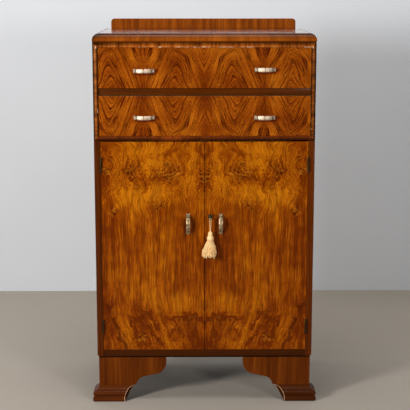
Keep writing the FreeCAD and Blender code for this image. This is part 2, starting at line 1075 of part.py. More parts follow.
def tassel_skirt():
    """The bell of threads, drawn in at the top and clear of the left door's edge."""
    top = tassel_head_top - tassel_head_height - tassel_collar_height
    low = top - tassel_skirt_height
    middle = (skirt_right - skirt_left) / 2
    half = (skirt_right + skirt_left) / 2

    def ring(z, offset, across, deep):
        curve = Part.Ellipse(vec(key_inset + offset, -bow_distance, z), across, deep)
        return Part.Wire(curve.toShape())

    wires = [
        ring(top, 0, tassel_collar_radius, skirt_top_depth),
        ring(low + skirt_lip, middle, half, skirt_depth),
        ring(low, middle, half, skirt_depth),
    ]
    return Part.makeLoft(wires, True, True)


# Writing the pieces


def write_carcase():
    left = side_panel()
    save("side_left", left)
    save("side_right", mirrored(left))
    save("top_board", top_board())
    save("back_gallery", back_gallery())
    rebate_half = inner_half + back_rebate
    save(
        "back_panel",
        box(-rebate_half, rebate_half, back_face, carcase_depth, carcase_bottom, frame_top),
    )
    save("top_rail", between_sides(frame_back, frame_back + drawer_rail_depth, frame_inner_top, frame_top))
    upright = frame_side()
    save("frame_moulding_left", upright)
    save("frame_moulding_right", mirrored(upright))
    save("frame_moulding_top", frame_head())
    save(
        "drawer_rail",
        between_sides(
            drawer_rail_setback, drawer_rail_setback + drawer_rail_depth, rail_bottom, rail_top
        ),
    )
    save("waist_strip", frame_rail(waist_top, waist_bottom))
    save("cupboard_top", between_sides(frame_back, back_face, waist_bottom, waist_top))
    post = stile()
    save("stile_left", post)
    save("stile_right", mirrored(post))
    rail_back = bottom_rail_setback + bottom_rail_depth
    save(
        "bottom_rail",
        box(-stile_inner, stile_inner, bottom_rail_setback, rail_back, carcase_bottom, bottom_rail_top),
    )
    save("bottom_board", bottom_board(rail_back))
    save("shelf", shelf())
    save("shelf_bearers", *bearers())
    save("drawer_runners_and_kickers", *runners_and_kickers())
    save("drawer_and_door_stops", *drawer_stops(), *door_stops())


def write_feet():
    front_board, front_base = front_bracket()
    side_board, side_base = side_bracket(foot_inset, 1)
    back_board, back_base = side_bracket(carcase_depth, -1)
    across_back = back_bracket()
    for side, turned in (("left", lambda s: s), ("right", mirrored)):
        save("foot_front_" + side, turned(front_board), turned(side_board))
        save("base_moulding_" + side, turned(front_base), turned(side_base))
        save("foot_back_" + side, turned(back_board), turned(across_back))
    save("base_moulding_back", back_base, mirrored(back_base))
    save("foot_blocks", *foot_blocks())


def write_drawers():
    handle = bow_handle()
    half_spread = drawer_handle_spread / 2
    for name, bottom, rise, lift in (
        ("drawer_upper", upper_front_bottom, upper_handle_rise, upper_right_lift),
        ("drawer_lower", lower_front_bottom, lower_handle_rise, 0.0),
    ):
        front, left, right, back, floor = drawer(bottom)
        level = bottom + rise
        places = ((-half_spread, level), (half_spread, level + lift))
        holes = [
            hole for x, z in places for hole in set_at(screw_holes(drawer_front_thickness), x, z)
        ]
        save(name + "_front", front.cut(holes))
        save(name + "_side_left", left)
        save(name + "_side_right", right)
        save(name + "_back", back)
        save(name + "_bottom", floor)
        save(name + "_handles", *[bow for x, z in places for bow in set_at([handle], x, z)])
        save(
            name + "_handle_screws",
            *[
                screw
                for x, z in places
                for screw in set_at(handle_screws(drawer_front_thickness), x, z)
            ],
        )


def write_doors():
    handle = bow_handle()
    plate, mortise = strike_plate()
    for name, side in (("door_left", -1), ("door_right", 1)):
        x = side * door_handle_inset
        panel = door_panel(side).cut(
            set_at(screw_holes(door_thickness), x, door_handle_height, upright=True)
        )
        if side < 0:
            panel = panel.cut([plate, mortise])
        else:
            panel = panel.cut([lock_space(), keyhole(shank_gap, 0, lock_front)])
            panel = panel.cut(keyhole(shank_gap + escutcheon_rim, 0, escutcheon_thickness))
        save(name + "_panel", panel)
        save(name + "_handle", *set_at([handle], x, door_handle_height, upright=True))
        save(
            name + "_handle_screws",
            *set_at(handle_screws(door_thickness), x, door_handle_height, upright=True),
        )
        save(name + "_hinge_leaves", *[hinge_leaf(side, low, True) for low in hinge_bottoms])
    save("strike_plate", plate.cut(mortise))
    save(
        "stile_hinge_leaves",
        *[hinge_leaf(side, low, False) for side in (-1, 1) for low in hinge_bottoms],
    )
    save("hinge_pins", *[hinge_pin(side, low) for side in (-1, 1) for low in hinge_bottoms])


def write_lock():
    save("lock_case", lock_case())
    save("keyhole_escutcheon", escutcheon())
    save("lock_bolt", lock_bolt())
    save("key", key())


def write_tassel():
    save("tassel_cord", cord_tube(cord_route(), cord_radius))
    save("tassel_head", tassel_head())
    save("tassel_skirt", tassel_skirt())


os.makedirs("parts", exist_ok=True)
write_carcase()
write_feet()
write_drawers()
write_doors()
write_lock()
write_tassel()
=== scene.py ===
import math
import bmesh
import bpy
import numpy as np
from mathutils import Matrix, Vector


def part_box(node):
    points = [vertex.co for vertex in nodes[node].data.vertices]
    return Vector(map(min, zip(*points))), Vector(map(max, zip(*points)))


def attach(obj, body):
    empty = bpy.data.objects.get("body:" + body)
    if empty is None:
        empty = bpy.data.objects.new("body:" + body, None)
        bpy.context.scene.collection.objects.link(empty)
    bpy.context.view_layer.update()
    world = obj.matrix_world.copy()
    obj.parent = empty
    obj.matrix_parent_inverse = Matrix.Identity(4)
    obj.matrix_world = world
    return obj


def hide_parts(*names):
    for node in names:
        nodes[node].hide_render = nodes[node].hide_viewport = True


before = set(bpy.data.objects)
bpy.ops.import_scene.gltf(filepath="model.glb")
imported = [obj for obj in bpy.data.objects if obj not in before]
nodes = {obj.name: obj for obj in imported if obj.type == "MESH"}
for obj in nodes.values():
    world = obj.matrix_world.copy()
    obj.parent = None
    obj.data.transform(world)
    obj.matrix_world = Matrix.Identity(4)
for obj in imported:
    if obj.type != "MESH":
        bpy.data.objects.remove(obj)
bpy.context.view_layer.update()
scene = bpy.context.scene
scene.view_settings.view_transform = "Standard"

mm = 0.001
circle = 2 * math.pi
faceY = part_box("door_left_panel")[0].y  # the plane of the doors and drawer fronts
veneer = 0.6  # thickness of the veneer on them, in millimetres
veneerArris = 0.45  # radius of its small rounded edge
boardArris = 0.4  # width of the small rounding on the edges of plain boards
leastTurn = 30  # an edge or corner that turns by more degrees than this is sharp


def metres(x, y, z):
    # millimetres, with y counted from the doors' plane, to points in metres
    x, y, z = np.broadcast_arrays(x, y, z)
    return np.stack([x * mm, faceY + y * mm, z * mm], -1)


def span(node):
    # a node's box in millimetres, with y counted from the doors' plane: lowest and highest corner
    return [np.array(corner) / mm - (0, faceY / mm, 0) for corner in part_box(node)]


def camelCase(node):
    first, *rest = node.split("_")
    return first + "".join(word.title() for word in rest)


def addObject(name, data, body=None, replaced=()):
    # a piece of the part rides on its body and stands for the nodes that it replaces
    made = bpy.data.objects.new(name, data)
    scene.collection.objects.link(made)
    if body:
        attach(made, body)
    if replaced:
        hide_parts(*replaced)
    return made


# Camera, at the photograph's viewing angle

cameraSettings = {"place": (-0.037, faceY - 3.957, 1.465), "pitch": 10.76, "yaw": -0.56, "lens": 101.65, "sensor": 36}
cameraData = bpy.data.cameras.new("camera")
cameraData.sensor_width = cameraSettings["sensor"]
cameraData.lens = cameraSettings["lens"]
scene.camera = addObject("camera", cameraData)
scene.camera.location = cameraSettings["place"]
scene.camera.rotation_euler = (math.radians(90 - cameraSettings["pitch"]), 0, math.radians(cameraSettings["yaw"]))


# Shader helpers


class Field:
    # a shader socket with arithmetic: each sign adds one Math node to the socket's own tree

    def __init__(self, socket):
        self.socket = socket

    def __add__(self, other):
        return calc("ADD", self, other)

    def __sub__(self, other):
        return calc("SUBTRACT", self, other)

    def __rsub__(self, other):
        return calc("SUBTRACT", other, self)

    def __mul__(self, other):
        return calc("MULTIPLY", self, other)

    def __abs__(self):
        return calc("ABSOLUTE", self)


def setInputs(node, values):
    # a field is linked to its input, and a constant is set on it
    for name, value in values.items():
        if isinstance(value, Field):
            node.id_data.links.new(value.socket, node.inputs[name])
        else:
            node.inputs[name].default_value = value


def addNode(tree, kind, values, **settings):
    made = tree.nodes.new("ShaderNode" + kind)
    for key, value in settings.items():
        setattr(made, key, value)
    setInputs(made, values)
    return made


def field(kind, values, output=0, **settings):
    # one output of a new node, made in the tree of the first field among its values
    tree = next(value.socket.id_data for value in values.values() if isinstance(value, Field))
    return Field(addNode(tree, kind, values, **settings).outputs[output])


def calc(operation, *values, clamp=False):
    return field("Math", dict(enumerate(values)), operation=operation, use_clamp=clamp)


def mixed(factor, first, second, blend="MIX"):
    first, second = ((*colour, 1) if isinstance(colour, tuple) else colour for colour in (first, second))
    return field("Mix", {0: factor, 6: first, 7: second}, 2, data_type="RGBA", blend_type=blend, clamp_factor=True)


def shaded(colour, amount):
    # the colour times the amount
    return mixed(1.0, colour, field("CombineColor", {0: amount, 1: amount, 2: amount}), "MULTIPLY")


def stepped(value, low, high, outLow=0.0, outHigh=1.0):
    return field("MapRange", {0: value, 1: low, 2: high, 3: outLow, 4: outHigh}, interpolation_type="SMOOTHSTEP")


def coloured(value, stops):
    made = addNode(value.socket.id_data, "ValToRGB", {0: value})
    points = made.color_ramp.elements
    while len(points) < len(stops):
        points.new(0.5)
    for point, (place, colour) in zip(points, stops):
        point.position = place
        point.color = (*colour, 1)
    return Field(made.outputs[0])


def noise(vector, scale, detail=4.0, roughness=0.55, distortion=0.0, output=0):
    return field("TexNoise", {"Vector": vector, "Scale": scale, "Detail": detail, "Roughness": roughness,
                              "Distortion": distortion}, output)


def stretched(vector, scale, turn=(0, 0, 0)):
    # the turn is in degrees
    return field("Mapping", {"Vector": vector, "Scale": scale, "Rotation": [math.radians(t) for t in turn]})


def bumped(shader, height, distance, strength=0.8):
    bump = field("Bump", {"Height": height, "Distance": distance, "Strength": strength})
    setInputs(shader, {"Normal": bump})


def newGroup(name, inputs, outputs):
    # sockets are (name, kind) or (name, kind, default). Returns the group, its input fields and its end node.
    group = bpy.data.node_groups.new(name, "ShaderNodeTree")
    for direction, sockets in (("INPUT", inputs), ("OUTPUT", outputs)):
        for label, kind, *default in sockets:
            made = group.interface.new_socket(label, in_out=direction, socket_type="NodeSocket" + kind)
            if default:
                made.default_value = default[0]
    start = group.nodes.new("NodeGroupInput")
    return group, [Field(start.outputs[socket[0]]) for socket in inputs], group.nodes.new("NodeGroupOutput")


def useGroup(group, values):
    made = addNode(values["Vector"].socket.id_data, "Group", {}, node_tree=group)
    setInputs(made, values)
    return {socket.name: Field(socket) for socket in made.outputs}


def newMaterial(name):
    # returns the material, its Principled shader and the place on the object
    material = bpy.data.materials.new(name)
    material.use_nodes = True
    tree = material.node_tree
    return material, tree.nodes["Principled BSDF"], Field(addNode(tree, "TexCoord", {}).outputs["Object"])


def ownValue(shader, name, output="Fac"):
    # an attribute of the mesh
    made = addNode(shader.id_data, "Attribute", {}, attribute_name=name, attribute_type="GEOMETRY")
    return Field(made.outputs[output])


# Wood effects that several finishes share

# Straight grain: long streaks, narrow growth lines and short pores along the pattern's Z
grainGroup, (vector, streaks, contrast), groupEnd = newGroup(
    "straightGrain", [("Vector", "Vector"), ("Streaks", "Float", 150.0), ("Contrast", "Float", 1.0)],
    [("Tone", "Float"), ("Pores", "Float")])
wide = noise(stretched(vector, (0.22, 0.22, 0.012)), streaks, 3)
fine = noise(stretched(vector, (1.0, 1.0, 0.02)), streaks, 5, 0.65, 0.4)
hair = noise(stretched(vector, (7.0, 7.0, 0.18)), streaks, 3, 0.6)
setInputs(groupEnd, {"Tone": (wide * 0.42 + fine * 0.43 + hair * 0.15 - 0.5) * contrast + 0.5,
                     "Pores": stepped(hair, 0.36, 0.27)})

# Worn arris: bare pale wood where a speckle plus the edge value, less 1.5, plus the amount is above nought
wearGroup, (vector, edge, amount, colour, bare), groupEnd = newGroup(
    "wornArris", [("Vector", "Vector"), ("Edge", "Float", 0.0), ("Amount", "Float", 0.0),
                  ("Color", "Color", (0.2, 0.1, 0.05, 1)), ("Bare", "Color", (0.55, 0.33, 0.17, 1))],
    [("Color", "Color"), ("Mask", "Float")])
speckle = noise(vector, 38, 6, 0.62) * 0.6 + noise(vector, 330, 3, 0.6) * 0.4
mask = stepped(speckle + edge + (amount - 1.5), 0.0, 0.08)
setInputs(groupEnd, {"Color": mixed(mask, colour, bare), "Mask": mask})

# Old polish: roughness that drifts, fine rubbing marks and a slightly uneven film
polishGroup, (vector, low, high), groupEnd = newGroup(
    "oldPolish", [("Vector", "Vector"), ("Low", "Float", 0.25), ("High", "Float", 0.45)],
    [("Roughness", "Float"), ("Height", "Float")])
rub = noise(stretched(vector, (1, 1, 0.35)), 260, 4, 0.7)
setInputs(groupEnd, {"Roughness": stepped(noise(vector, 9, 4, 0.6) * 0.7 + rub * 0.3, 0.3, 0.7, low, high),
                     "Height": noise(vector, 30, 3, 0.5) + rub * 0.05})


def polished(shader, place, colour, s):
    # lays the wear and the old polish over the colour; returns the mask of the wear and the film's height
    worn = useGroup(wearGroup, {"Vector": place, "Edge": ownValue(shader, "edge"), "Amount": s["wear"],
                                "Color": colour, "Bare": (*s["bare"], 1)})
    polish = useGroup(polishGroup, {"Vector": place, "Low": s["gloss"][0], "High": s["gloss"][1]})
    rough = polish["Roughness"]
    if s["chip"]:
        rough = calc("MULTIPLY_ADD", worn["Mask"], 0.3, rough, clamp=True)
    setInputs(shader, {"Base Color": worn["Color"], "Roughness": rough, "Coat Weight": s["coat"],
                       "Coat Roughness": s["coatRoughness"], "Specular IOR Level": s["shine"],
                       "Specular Tint": (1, 0.6, 0.32, 1)})
    return worn["Mask"], polish["Height"]


def wood(name, base, **changes):
    # straight wood has a "turn" that brings its grain to Z. A banded moulding has none: its short grain
    # follows the "run" value along it, and its colour carries painted shade from the "dim" value.
    s = {**base, **changes}
    material, shader, place = newMaterial(name)
    if "turn" in s:
        along, cloud = stretched(place, (1, 1, 1), s["turn"]), noise(place, 5, 3, 0.6)
    else:
        along = ownValue(shader, "run", "Vector")
        cloud = noise(stretched(along, (1, 1, 0.2)), 7, 3, 0.6)
    lift = calc("MULTIPLY_ADD", cloud, s["cloud"], 1 - 0.5 * s["cloud"])
    if "turn" not in s:
        # painted shade: the colour times one less the dim value, painted highlight where it is negative
        lift = lift * (1.0 - ownValue(shader, "dim"))
    grain = useGroup(grainGroup, {"Vector": along, "Streaks": s["streaks"], "Contrast": s["contrast"]})
    colour = shaded(coloured(grain["Tone"], s["stops"]), lift)
    colour = mixed(grain["Pores"] * s["pores"], colour, s["pore"])
    mask, film = polished(shader, place, colour, s)
    bumped(shader, calc("MULTIPLY_ADD", grain["Tone"], s["ridge"], film * 0.5) - mask * s["chip"], s["relief"])
    return material


def tinted(stops, factors):
    # the same stops with their colours multiplied
    return [(at, np.multiply(colour, factors)) for at, colour in stops]


straight = {"turn": (0, 0, 0), "cloud": 0.5, "bare": (0.5, 0.3, 0.16), "ridge": 0.2, "chip": 0.5, "relief": 0.00012,
            "coat": 0.08, "coatRoughness": 0.16, "shine": 0.10}
walnut = {**straight, "streaks": 150, "contrast": 1.25, "pore": (0.045, 0.011, 0.002), "pores": 0.55,
          "gloss": (0.24, 0.42), "wear": -0.12,
          "stops": [(0.22, (0.064, 0.012, 0.001)), (0.42, (0.140, 0.029, 0.0022)),
                    (0.60, (0.223, 0.053, 0.004)), (0.80, (0.306, 0.081, 0.007))]}
straightWalnut = wood("straightWalnut", walnut)
topWalnut = wood("topWalnut", walnut, turn=(0, 90, 0), streaks=110, gloss=(0.10, 0.20), coat=0.6, shine=0.5)
footWalnut = wood("footWalnut", walnut, streaks=230, contrast=1.7, wear=-0.15, cloud=0.35, bare=(0.72, 0.46, 0.26),
                  stops=[(0.22, (0.048, 0.0081, 0.0004)), (0.42, (0.092, 0.017, 0.0008)),
                         (0.60, (0.132, 0.027, 0.0014)), (0.80, (0.185, 0.043, 0.0028))])
galleryWalnut = wood("galleryWalnut", walnut, streaks=300, contrast=1.5, wear=-0.07, cloud=0.7,
                     stops=[(0.22, (0.072, 0.013, 0.001)), (0.42, (0.156, 0.031, 0.0022)),
                            (0.60, (0.260, 0.059, 0.0042)), (0.80, (0.390, 0.099, 0.0077))])

darkStops = [(0.25, (0.032, 0.0062, 0.0004)), (0.5, (0.065, 0.013, 0.0008)), (0.75, (0.110, 0.022, 0.0012))]
dark = {**straight, "turn": (0, 90, 0), "streaks": 130, "contrast": 1.2, "pore": (0.02, 0.007, 0.002), "pores": 0.5,
        "gloss": (0.30, 0.48), "wear": -0.08, "bare": (0.33, 0.17, 0.07), "cloud": 0.4}
darkRail = wood("darkRail", dark, stops=tinted(darkStops, (1.2, 1.2, 0.7)))
# painted shade: a darker copy of the rail finish, for the bottom rail
lowRail = wood("lowRail", dark, wear=-0.04, stops=tinted(darkStops, 0.68))
# painted shadow: a near-black copy, for the bottom board's lowest strip under the bottom rail
plinthPaintedShadow = wood("plinthPaintedShadow", dark, stops=tinted(darkStops, 0.12))
doorEdge = wood("doorEdge", dark, turn=(0, 0, 0), stops=tinted(darkStops, 0.9))
stile = {**dark, "turn": (0, 0, 0), "streaks": 170, "contrast": 1.5}
stileStops = [(0.25, (0.030, 0.0053, 0.0004)), (0.5, (0.068, 0.012, 0.0007)), (0.75, (0.125, 0.024, 0.0010))]
darkStile = wood("darkStile", stile, stops=stileStops)
rightStile = wood("rightStile", stile, stops=tinted(stileStops, 1.42))

inner = {**straight, "turn": (0, 90, 0), "streaks": 90, "contrast": 0.9, "pore": (0.22, 0.13, 0.06), "pores": 0.3,
         "gloss": (0.5, 0.68), "wear": -0.3, "coat": 0.0, "cloud": 0.25,
         "stops": [(0.25, (0.30, 0.18, 0.085)), (0.5, (0.42, 0.27, 0.14)), (0.75, (0.52, 0.36, 0.20))]}
innerAcross = wood("innerAcross", inner)
innerDeep = wood("innerDeep", inner, turn=(90, 0, 0))
innerUpright = wood("innerUpright", inner, turn=(0, 0, 0))
plywood = wood("plywood", inner, turn=(0, 0, 0), streaks=60, contrast=0.7,
               stops=[(0.25, (0.36, 0.23, 0.12)), (0.5, (0.46, 0.31, 0.17)), (0.75, (0.55, 0.40, 0.24))])

banded = {"ridge": 0.25, "chip": 0.6, "relief": 0.00015, "coat": 0.12, "coatRoughness": 0.14, "shine": 0.10,
          "streaks": 140, "contrast": 1.3, "cloud": 1.0, "gloss": (0.22, 0.40), "pore": (0.06, 0.018, 0.004),
          "pores": 0.45}
edgeBanding = wood("edgeBanding", banded, streaks=120, cloud=0.8, wear=-0.2, gloss=(0.2, 0.38),
                   bare=(0.75, 0.55, 0.38),
                   stops=[(0.22, (0.111, 0.020, 0.0013)), (0.42, (0.221, 0.046, 0.003)),
                          (0.60, (0.340, 0.084, 0.0063)), (0.80, (0.442, 0.129, 0.011))])
frameBanding = wood("frameBanding", banded, contrast=3.4, wear=0.05, bare=(0.80, 0.52, 0.33),
                    stops=[(0.22, (0.095, 0.020, 0.0021)), (0.42, (0.209, 0.048, 0.005)),
                           (0.60, (0.314, 0.081, 0.0092)), (0.80, (0.427, 0.126, 0.017))])
waistBanding = wood("waistBanding", banded, wear=-0.10, bare=(0.60, 0.36, 0.2), pore=(0.05, 0.015, 0.003),
                    stops=[(0.22, (0.047, 0.0075, 0.0007)), (0.42, (0.102, 0.017, 0.0013)),
                           (0.60, (0.170, 0.031, 0.0022)), (0.80, (0.272, 0.058, 0.0048))])
baseWood = {**banded, "streaks": 160, "cloud": 0.6, "wear": 0.0, "gloss": (0.32, 0.5), "bare": (0.58, 0.34, 0.19),
            "pore": (0.03, 0.01, 0.003)}
baseStops = [(0.22, (0.036, 0.0066, 0.0009)), (0.42, (0.066, 0.013, 0.0018)),
             (0.60, (0.100, 0.021, 0.0027)), (0.80, (0.152, 0.036, 0.0048))]
baseBanding = wood("baseBanding", baseWood, stops=baseStops)
# painted shade: a darker copy of the base moulding finish, for the right foot
rightBase = wood("rightBase", baseWood, stops=tinted(baseStops, 0.65))


def figuredWalnut(name, s):
    # "leaf" holds the leaf's own x and z and the growth value, "look" the burr, the tone, which carries painted shade,
    # and the dark wisps, which carry painted handle shadows
    material, shader, place = newMaterial(name)

    def parts(label):
        made = addNode(shader.id_data, "SeparateXYZ", {0: ownValue(shader, label, "Vector")})
        return [Field(socket) for socket in made.outputs]

    leafX, leafZ, growth = parts("leaf")
    burr, shift, wispsAndHandleShadows = parts("look")
    flat = field("CombineXYZ", {0: leafX, 1: leafZ, 2: 0.0})
    # knotty grain in the burr pushes the growth value about
    growth = (growth + (noise(flat, 46, 4, 0.6, 0.8) - 0.5) * (burr * 0.10)
              + (noise(flat, 14, 3, 0.5) - 0.5) * s["waver"])

    def lined(across, along, detail, rough):
        # noise drawn out along the growth lines
        vector = field("CombineXYZ", {0: growth * across, 1: leafX * along, 2: leafZ * along})
        return noise(vector, s["bands"], detail, rough)

    tone = calc("MULTIPLY_ADD", lined(0.35, 0.04, 2, 0.5), s["broad"], lined(1.0, 0.05, 5, 0.66) * (1 - s["broad"]))
    tone = calc("MULTIPLY_ADD", tone - 0.5, s["contrast"], 0.5)
    tone = tone + (noise(stretched(flat, (0.7, 1.6, 1)), 17, 3, 0.6) - 0.5) * 0.22
    tone = tone + (lined(3.2, 0.13, 3, 0.7) - 0.5) * s["hair"]
    mottle = noise(stretched(flat, (1.0, 0.6, 1)), 210, 3, 0.7, 0.3)
    tone = tone + (mottle - 0.5) * (ownValue(shader, "mottle") * s["mottle"]) + shift * 0.30 - burr * 0.10
    colour = coloured(tone, s["stops"])

    # growth lines: dark where a drawn-out noise is near its middle
    ring = stepped(abs(lined(s["lines"][0], 0.03, 3, 0.6) - 0.5), s["lineWidth"], 0.0)
    strong = stepped(noise(flat, 11, 2, 0.5), 0.36, 0.62, 0.35, 1.0)
    colour = mixed(ring * strong * s["rings"], colour, s["line"])
    ring = stepped(abs(lined(s["lines"][1], 0.06, 2, 0.5) - 0.47), 1.3 * s["lineWidth"], 0.0)
    colour = mixed(ring * (s["rings"] * 0.55), colour, s["line"])

    # eyes and wisps of the burr
    nudge = stretched(noise(flat, 75.0, 3.0, 0.5, output=1), (0.020, 0.020, 0.0))
    bent = field("VectorMath", {0: flat, 1: nudge}, operation="ADD")
    cell = field("TexVoronoi", {"Vector": bent, "Scale": 84.0}, feature="F1")
    rim = stepped(abs(cell - 0.60), 0.16, 0.0)
    wisp = stepped(abs(noise(bent, 60, 4, 0.65, 0.6) - 0.5), 0.085, 0.0)
    amount = stepped(burr, 0.16, 0.55)
    colour = mixed(rim * amount * 0.6, colour, s["light"])
    mark = calc("MAXIMUM", stepped(cell, 0.42, 0.14), wisp * 0.75) * amount
    colour = mixed(mark * 0.9, colour, s["knot"])
    # dark wisps, with the painted shadows beside the handles
    colour = mixed(wispsAndHandleShadows, colour, s["knot"])
    pores = stepped(lined(7.0, 0.30, 2, 0.6), 0.40, 0.28)
    colour = mixed(pores * 0.38, colour, s["line"])

    film = polished(shader, place, colour, {"wear": -0.16, "bare": (0.62, 0.38, 0.2), "gloss": (0.20, 0.36), "chip": 0,
                                            "coat": 0.06, "coatRoughness": 0.12, "shine": 0.10})[1]
    bumped(shader, calc("MULTIPLY_ADD", pores, -0.25, film * 0.6), 0.00012)
    return material


doorVeneer = figuredWalnut("doorVeneer", {
    "bands": 100.0, "contrast": 1.05, "waver": 0.006, "rings": 0.60, "broad": 0.3, "lineWidth": 0.055,
    "lines": (0.5, 1.3), "hair": 1.1, "mottle": 1.05, "light": (0.60, 0.19, 0.010),
    "stops": [(0.20, (0.122, 0.0175, 0.0003)), (0.40, (0.232, 0.041, 0.0006)),
              (0.58, (0.350, 0.082, 0.0013)), (0.80, (0.53, 0.156, 0.0030))],
    "line": (0.085, 0.014, 0.0004), "knot": (0.070, 0.010, 0.0005)})
drawerVeneer = figuredWalnut("drawerVeneer", {
    "bands": 70.0, "contrast": 0.55, "waver": 0.004, "rings": 1.2, "broad": 0.3, "lineWidth": 0.038,
    "lines": (0.31, 0.80), "hair": 0.9, "mottle": 1.3, "light": (0.5, 0.2, 0.03),
    "stops": [(0.20, (0.125, 0.0175, 0.0007)), (0.40, (0.222, 0.040, 0.0015)),
              (0.58, (0.332, 0.073, 0.0026)), (0.80, (0.49, 0.132, 0.0058))],
    "line": (0.062, 0.0070, 0.0003), "knot": (0.070, 0.010, 0.0005)})


def agedMetal(name, s):
    # plate that has dulled: tint patches, dark dirt in small spots and where "groove" is high, and a faintly
    # uneven surface
    material, shader, place = newMaterial(name)
    patch = noise(place, s["patch"], 5, 0.65)
    speck = noise(place, s["patch"] * 6, 4, 0.7)
    dirt = calc("MAXIMUM", ownValue(shader, "groove") * s["dirt"], stepped(speck, 0.60, 0.74) * s["spots"])
    rough = calc("MULTIPLY_ADD", speck, 0.25, s["rough"])
    setInputs(shader, {"Base Color": mixed(dirt, coloured(patch, s["stops"]), s["dark"]),
                       "Roughness": calc("MULTIPLY_ADD", dirt, 0.35, rough, clamp=True),
                       "Metallic": calc("SUBTRACT", 1.0, dirt * 0.55, clamp=True)})
    bumped(shader, speck + patch, 0.00005, 0.6)
    return material


agedNickel = agedMetal("agedNickel", {
    "patch": 120.0, "rough": 0.46, "dirt": 1.0, "spots": 0.35, "dark": (0.035, 0.022, 0.008),
    "stops": [(0.3, (0.55, 0.41, 0.26)), (0.5, (0.75, 0.59, 0.43)), (0.7, (0.88, 0.72, 0.56))]})
# painted shade: a darker copy of the nickel, for the upright door handles
doorNickelPaintedShade = agedMetal("doorNickelPaintedShade", {
    "patch": 130.0, "rough": 0.38, "dirt": 1.0, "spots": 0.35, "dark": (0.035, 0.022, 0.006),
    "stops": [(0.36, (0.27, 0.185, 0.085)), (0.52, (0.49, 0.35, 0.19)), (0.66, (0.74, 0.55, 0.37))]})
agedBrass = agedMetal("agedBrass", {
    "patch": 90.0, "rough": 0.38, "dirt": 0.8, "spots": 0.6, "dark": (0.03, 0.02, 0.01),
    "stops": [(0.3, (0.03, 0.018, 0.008)), (0.5, (0.05, 0.032, 0.014)), (0.7, (0.09, 0.06, 0.028))]})
keySteel = agedMetal("keySteel", {
    "patch": 300.0, "rough": 0.42, "dirt": 0.7, "spots": 0.5, "dark": (0.022, 0.016, 0.005),
    "stops": [(0.38, (0.022, 0.017, 0.006)), (0.54, (0.055, 0.043, 0.018)), (0.68, (0.34, 0.27, 0.15))]})
screwSteel = agedMetal("screwSteel", {
    "patch": 150.0, "rough": 0.34, "dirt": 0.8, "spots": 0.5, "dark": (0.05, 0.045, 0.035),
    "stops": [(0.3, (0.28, 0.26, 0.22)), (0.5, (0.42, 0.39, 0.33)), (0.7, (0.55, 0.51, 0.44))]})


def threadMaterial(name, stops, twist):
    # cotton: fine fibres over soft patches, and slanting plies as relief
    material, shader, place = newMaterial(name)
    fibre = noise(stretched(place, (1, 1, 0.15)), 900, 4, 0.7)
    soft = noise(stretched(place, (1, 1, 0.6)), 260, 3, 0.7)
    setInputs(shader, {"Base Color": coloured(calc("MULTIPLY_ADD", fibre, 0.25, soft * 0.75), stops),
                       "Roughness": 0.62, "Sheen Weight": 0.3, "Sheen Roughness": 0.4})
    plies = field("TexWave", {"Vector": stretched(place, (1, 1, 1), (0, 35, 0)), "Scale": twist, "Distortion": 0.6,
                              "Detail": 1.0}, "Fac", wave_type="BANDS", bands_direction="Z")
    bumped(shader, plies + fibre, 0.0004)
    return material


tasselThread = threadMaterial("tasselThread", [(0.37, (0.80, 0.35, 0.085)), (0.45, (1.0, 0.53, 0.20)),
                                               (0.56, (1.0, 0.80, 0.39))], 180.0)
tasselCord = threadMaterial("tasselCord", [(0.3, (0.85, 0.42, 0.14)), (0.5, (1.0, 0.58, 0.24)),
                                           (0.7, (1.0, 0.72, 0.42))], 220.0)
print("materials made")


# Surfaces on grids


def gridFaces(rows, cols, wrapRows=False, wrapCols=False):
    # a quad between each pair of neighbouring rows and columns of points numbered row by row
    row, col = np.arange(rows if wrapRows else rows - 1), np.arange(cols if wrapCols else cols - 1)
    r, c = np.meshgrid(row, col, indexing="ij")
    r2, c2 = (r + 1) % rows, (c + 1) % cols
    return np.stack([r * cols + c, r * cols + c2, r2 * cols + c2, r2 * cols + c], -1).reshape(-1, 4)


def tubeFaces(rows, cols, first=0):
    # quads round closed rings of points, and a flat face on the first and on the last ring
    ring = np.arange(cols)
    return [(face + first).tolist() for face in (*gridFaces(rows, cols, wrapCols=True), ring, (rows - 1) * cols + ring)]


def finishMesh(mesh, work, angle):
    # writes the worked mesh back, smooth but for edges sharper than the angle
    work.to_mesh(mesh)
    work.free()
    mesh.shade_smooth()
    mesh.set_sharp_from_angle(angle=math.radians(angle))


def addPiece(name, points, faces, body, materials, replaced=(), values=None, slotOf=None, angle=38, merge=True):
    # values: point attributes by name, one number or three for each point
    points = np.reshape(points, (-1, 3))
    mesh = bpy.data.meshes.new(name)
    mesh.from_pydata(points.tolist(), [], faces)
    for label, numbers in (values or {}).items():
        kind, target = ("FLOAT_VECTOR", "vector") if np.size(numbers) == points.size else ("FLOAT", "value")
        made = mesh.attributes.new(label, kind, "POINT")
        made.data.foreach_set(target, np.asarray(numbers, np.float32).ravel())
    for material in materials:
        mesh.materials.append(material)
    if slotOf is not None:
        mesh.polygons.foreach_set("material_index", slotOf)
    work = bmesh.new()
    work.from_mesh(mesh)
    if merge:
        bmesh.ops.remove_doubles(work, verts=work.verts, dist=1e-6)
    bmesh.ops.recalc_face_normals(work, faces=work.faces)
    finishMesh(mesh, work, angle)
    return addObject(name, mesh, body, replaced)


